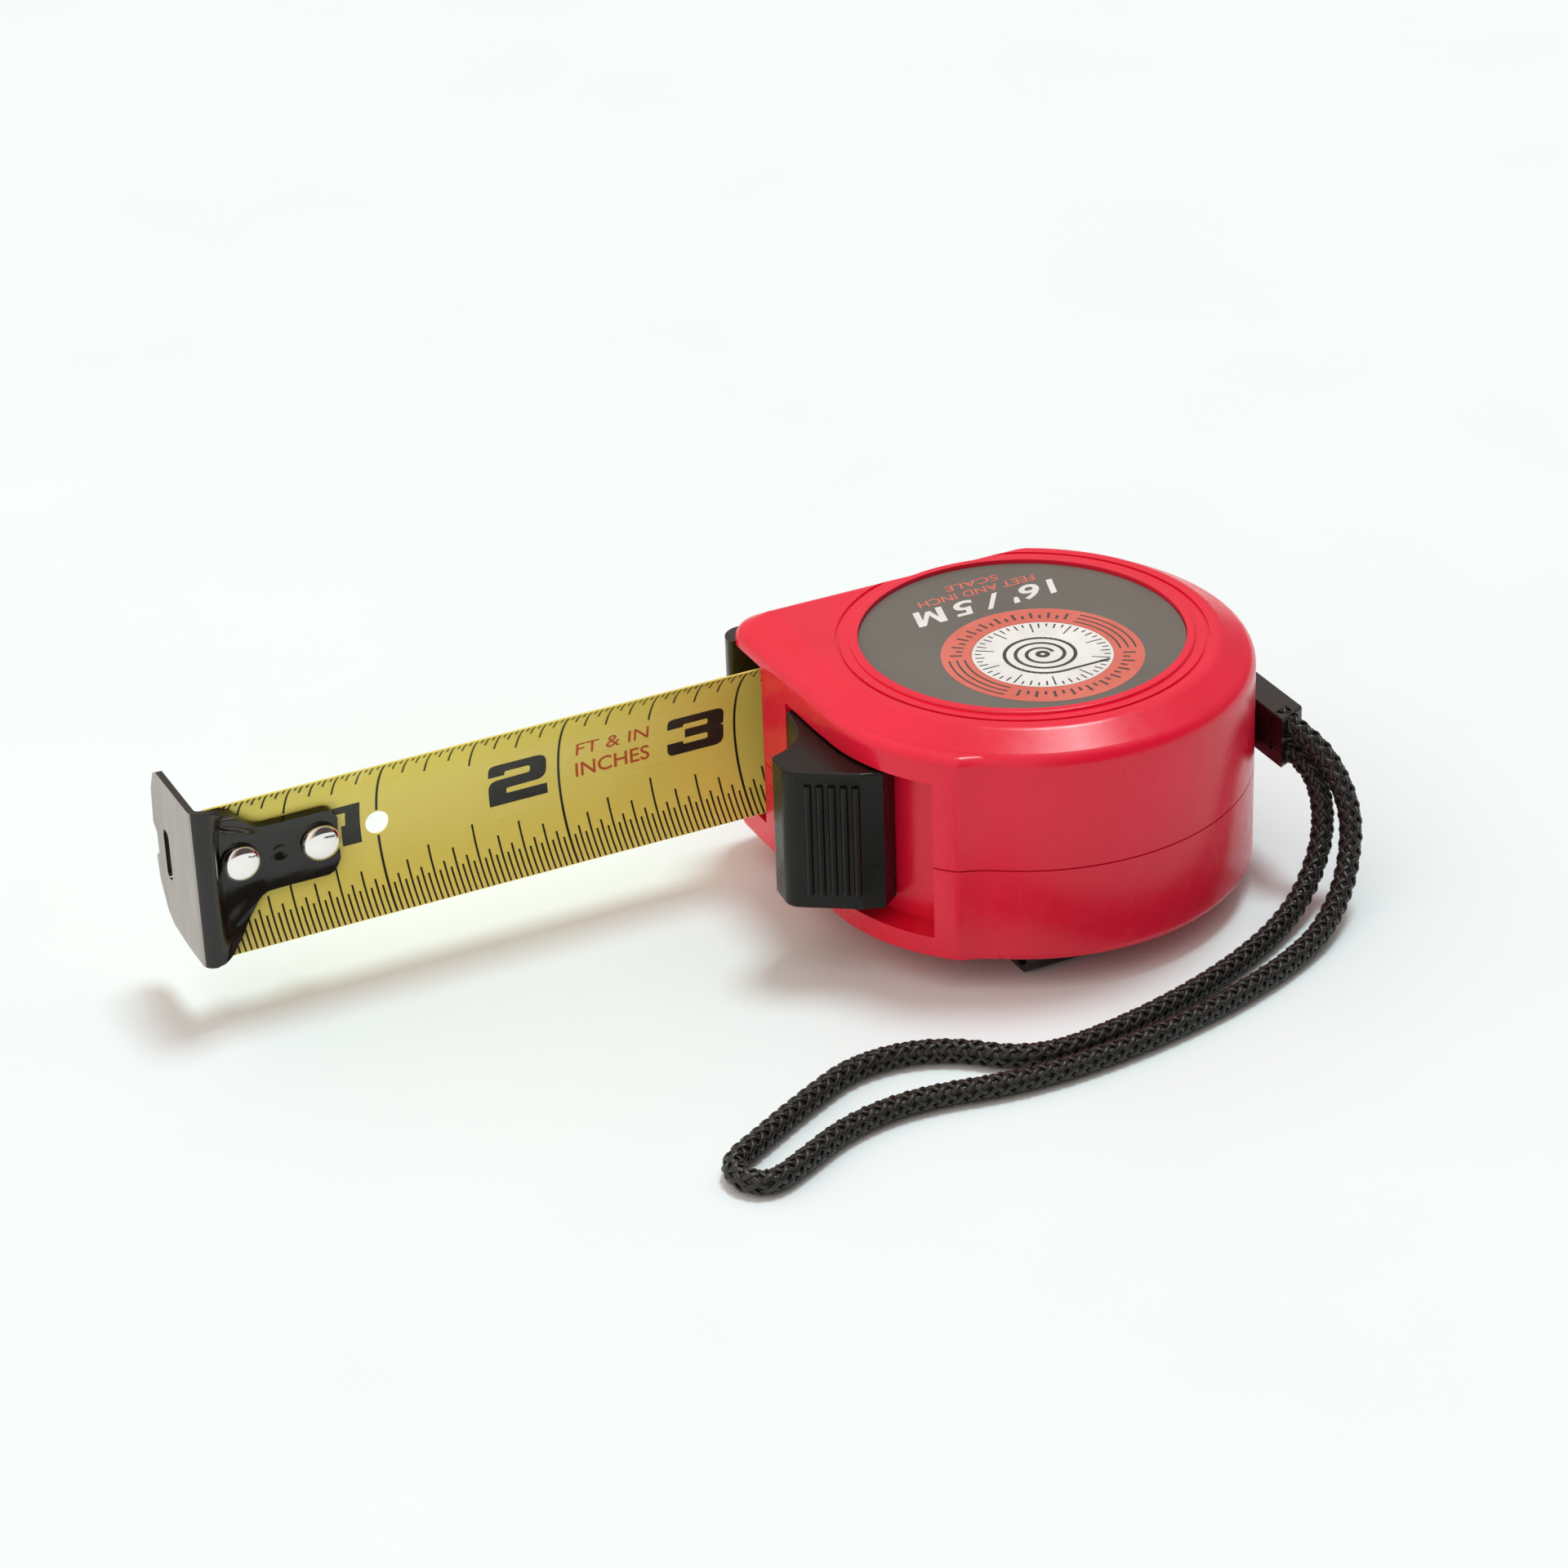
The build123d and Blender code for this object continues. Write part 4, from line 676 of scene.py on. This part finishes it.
# ================================================================ cord
CORD_R = 1.6
CORD_ROUTE = (
    (30.04, -14.69, 18.84), (31.9, -18.7, 17.2), (32.3, -21.9, 13.8), (31.5, -23.9, 9.1),
    (28.8, -26.0, 5.2), (24.4, -29.0, 2.6), (17.2, -33.4, 1.65), (5.5, -38.8, 1.65),
    (-8.0, -42.6, 1.65), (-22.6, -44.2, 1.65), (-31.4, -35.6, 1.65), (-42.2, -34.0, 1.65),
    (-52.0, -38.8, 1.65), (-60.4, -43.6, 1.65), (-65.2, -46.2, 1.65), (-66.1, -49.0, 1.65),
    (-64.9, -51.6, 1.65), (-62.3, -52.5, 1.65), (-57.2, -50.0, 1.65), (-49.6, -46.0, 1.65),
    (-39.6, -44.6, 1.65), (-25.0, -47.9, 1.65), (-8.4, -46.8, 1.65), (8.2, -43.0, 1.65),
    (21.4, -37.4, 1.65), (28.4, -32.4, 3.2), (32.4, -28.8, 6.7), (34.4, -26.0, 11.9),
    (33.8, -23.0, 17.0), (32.2, -19.3, 20.5), (30.04, -14.69, 22.34))
BRAID_STRANDS = 5               # each way round
BRAID_PITCH = 10.0
STRAND_WIDE = 0.95
STRAND_HIGH = 0.44
WEAVE = 0.15                    # the strands rise and dip by this
CORE_INSET = 0.5
UNEVEN = 0.04
PATH_STEP = 0.34


def nurbs_path(route):
    """The route's smooth line, as evenly spaced points in metres."""
    curve = bpy.data.curves.new("route", "CURVE")
    curve.dimensions = "3D"
    curve.resolution_u = 24
    spline = curve.splines.new("NURBS")
    spline.points.add(len(route) - 1)
    for point, place in zip(spline.points, route):
        point.co = (*(Vector(place) * MM), 1)
    spline.order_u = 3
    spline.use_endpoint_u = True
    holder = link(bpy.data.objects.new("route", curve))
    bpy.context.view_layer.update()
    mesh = bpy.data.meshes.new_from_object(holder)
    raw = [v.co.copy() for v in mesh.vertices]
    bpy.data.objects.remove(holder)
    bpy.data.meshes.remove(mesh)
    lengths = [0.0]
    for a, b in zip(raw, raw[1:]):
        lengths.append(lengths[-1] + (b - a).length)
    count = round(lengths[-1] / (PATH_STEP * MM))
    points, k = [], 0
    for i in range(count + 1):
        goal = lengths[-1] * i / count
        while k < len(raw) - 2 and lengths[k + 1] < goal:
            k += 1
        gap = lengths[k + 1] - lengths[k]
        points.append(raw[k].lerp(raw[k + 1], (goal - lengths[k]) / gap if gap else 0))
    return points, lengths[-1]


def path_frames(points):
    """(point, side, up) along the path, without twist."""
    up = Vector((0, 0, 1))
    frames = []
    for i, point in enumerate(points):
        along = (points[min(i + 1, len(points) - 1)] - points[max(i - 1, 0)]).normalized()
        up = (up - along * up.dot(along)).normalized()
        frames.append((point, along.cross(up), up))
    return frames


def add_tube(verts, faces, centres, profile):
    """A closed tube whose ring at each centre is profile(index), a list of points."""
    start = len(verts)
    count = len(profile(0))
    for i in range(len(centres)):
        verts.extend(profile(i))
    for i in range(len(centres) - 1):
        for k in range(count):
            a, b = start + i * count + k, start + i * count + (k + 1) % count
            faces.append((a, b, b + count, a + count))
    faces.append(tuple(start + k for k in range(count))[::-1])
    last = start + (len(centres) - 1) * count
    faces.append(tuple(last + k for k in range(count)))


def make_cord(made):
    points, length = nurbs_path(CORD_ROUTE)
    frames = path_frames(points)
    step = length / (len(points) - 1) / MM
    verts, faces = [], []

    def ring_at(i, radius, turn):
        point, side, up = frames[i]
        outward = side * math.cos(turn) + up * math.sin(turn)
        return point + outward * radius * MM, outward, side * -math.sin(turn) + up * math.cos(turn)

    add_tube(verts, faces, points,
             lambda i: [ring_at(i, CORD_R - CORE_INSET, 2 * math.pi * k / 12)[0] for k in range(12)])
    for way in (1, -1):
        for strand in range(BRAID_STRANDS):
            def ring(i, way=way, strand=strand):
                travel = i * step / BRAID_PITCH
                turn = way * 2 * math.pi * (travel + strand / BRAID_STRANDS)
                # strands of the two hands pass over and under in turn
                weave = way * math.cos(2 * math.pi * travel * BRAID_STRANDS)
                uneven = UNEVEN * noise.noise(points[i] * 900 + Vector((strand * 7.1, way * 3.3, 0)))
                radius = CORD_R - STRAND_HIGH / 2 - WEAVE * (1 - weave) + uneven
                centre, outward, around = ring_at(i, radius, turn)
                return [centre + (around * STRAND_WIDE / 2 * math.cos(spot)
                                  + outward * STRAND_HIGH / 2 * math.sin(spot)) * MM
                        for spot in [2 * math.pi * k / 6 for k in range(6)]]
            add_tube(verts, faces, points, ring)
    cord = mesh_object("braided_cord", verts, faces, made["cord_black"])
    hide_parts("lanyard_cord")
    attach(cord, "case")


# ================================================================ CAD nodes' finishes
NODE_FINISH = {
    "case_top_cover": "case_red", "case_bottom_cover": "case_red", "label_disc": "label",
    "nose_guard": "trim_black", "case_screws": "screw_steel", "blade_coil": "blade_yellow",
    "spool_drum": "inner_plastic", "spring_cover": "inner_plastic", "power_spring": "spring_steel",
    "center_post": "post_steel", "center_screw": "screw_steel", "lower_washer": "washer_plastic",
    "upper_washer": "washer_plastic", "lock_button": "button_black", "lock_pad": "pad_rubber",
    "belt_clip": "clip_steel", "clip_screw": "screw_steel", "lanyard_bracket": "trim_black",
}


def paint_nodes(made):
    for name, material in NODE_FINISH.items():
        node = NODES[name]
        node.data.materials.clear()
        node.data.materials.append(made[material])


# ================================================================ floor and light
SKY_DIM = (0.22, 0.19, 0.175)
SKY_BRIGHT = (1.05, 0.90, 0.83)
SKY_DARK = (0.08, 0.07, 0.065)


def make_stage():
    size = 3.0
    paper = finish("floor_paper", (0.807, 0.868, 0.884), (0.827, 0.887, 0.904), (0.75, 0.9), cloud=20,
                   grain=(900.0, 0.000004), waves=(40.0, 0.000002))
    corners = [Vector((x, y, 0)) for x, y in ((-size, -size), (size, -size), (size, size), (-size, size))]
    floor = mesh_object("floor", corners, [(0, 1, 2, 3)], paper, smooth=False)
    world = bpy.data.worlds.new("studio")
    bpy.context.scene.world = world
    world.use_nodes = True
    nodes = Nodes(world.node_tree)
    direction = nodes.add("ShaderNodeTexCoord").outputs["Generated"]

    def toward(x, y, z):
        product = nodes.add("ShaderNodeVectorMath", {"operation": "DOT_PRODUCT"}, Vector=direction)
        product.inputs[1].default_value = (x, y, z)
        return product.outputs["Value"]

    # bright overhead and on the left, with one dark gap low in front on the right
    sky = nodes.mix(nodes.spread(toward(-0.48, -0.12, 0.55), 0, 1, -0.45, 0.50), SKY_DIM, SKY_BRIGHT)
    colour = nodes.mix(nodes.spread(toward(0.40, -0.86, 0.32), 0, 1, 0.62, 0.90), sky, SKY_DARK)
    background = world.node_tree.nodes["Background"]
    world.node_tree.links.new(colour, background.inputs["Color"])

    key = bpy.data.lights.new("key", "SUN")
    key.energy = 1.56
    key.angle = math.radians(16)
    key.color = (0.79, 0.97, 1.0)
    lamp = link(bpy.data.objects.new("key", key))
    lamp.rotation_euler = Vector((0.25, 0.12, 1.0)).to_track_quat("Z", "Y").to_euler()


make_camera()
MATERIALS = make_materials()
make_cord(MATERIALS)
make_blade(MATERIALS)
make_hook(MATERIALS)
make_label_print(MATERIALS)
paint_nodes(MATERIALS)
make_stage()
bpy.context.scene.view_settings.view_transform = "Standard"
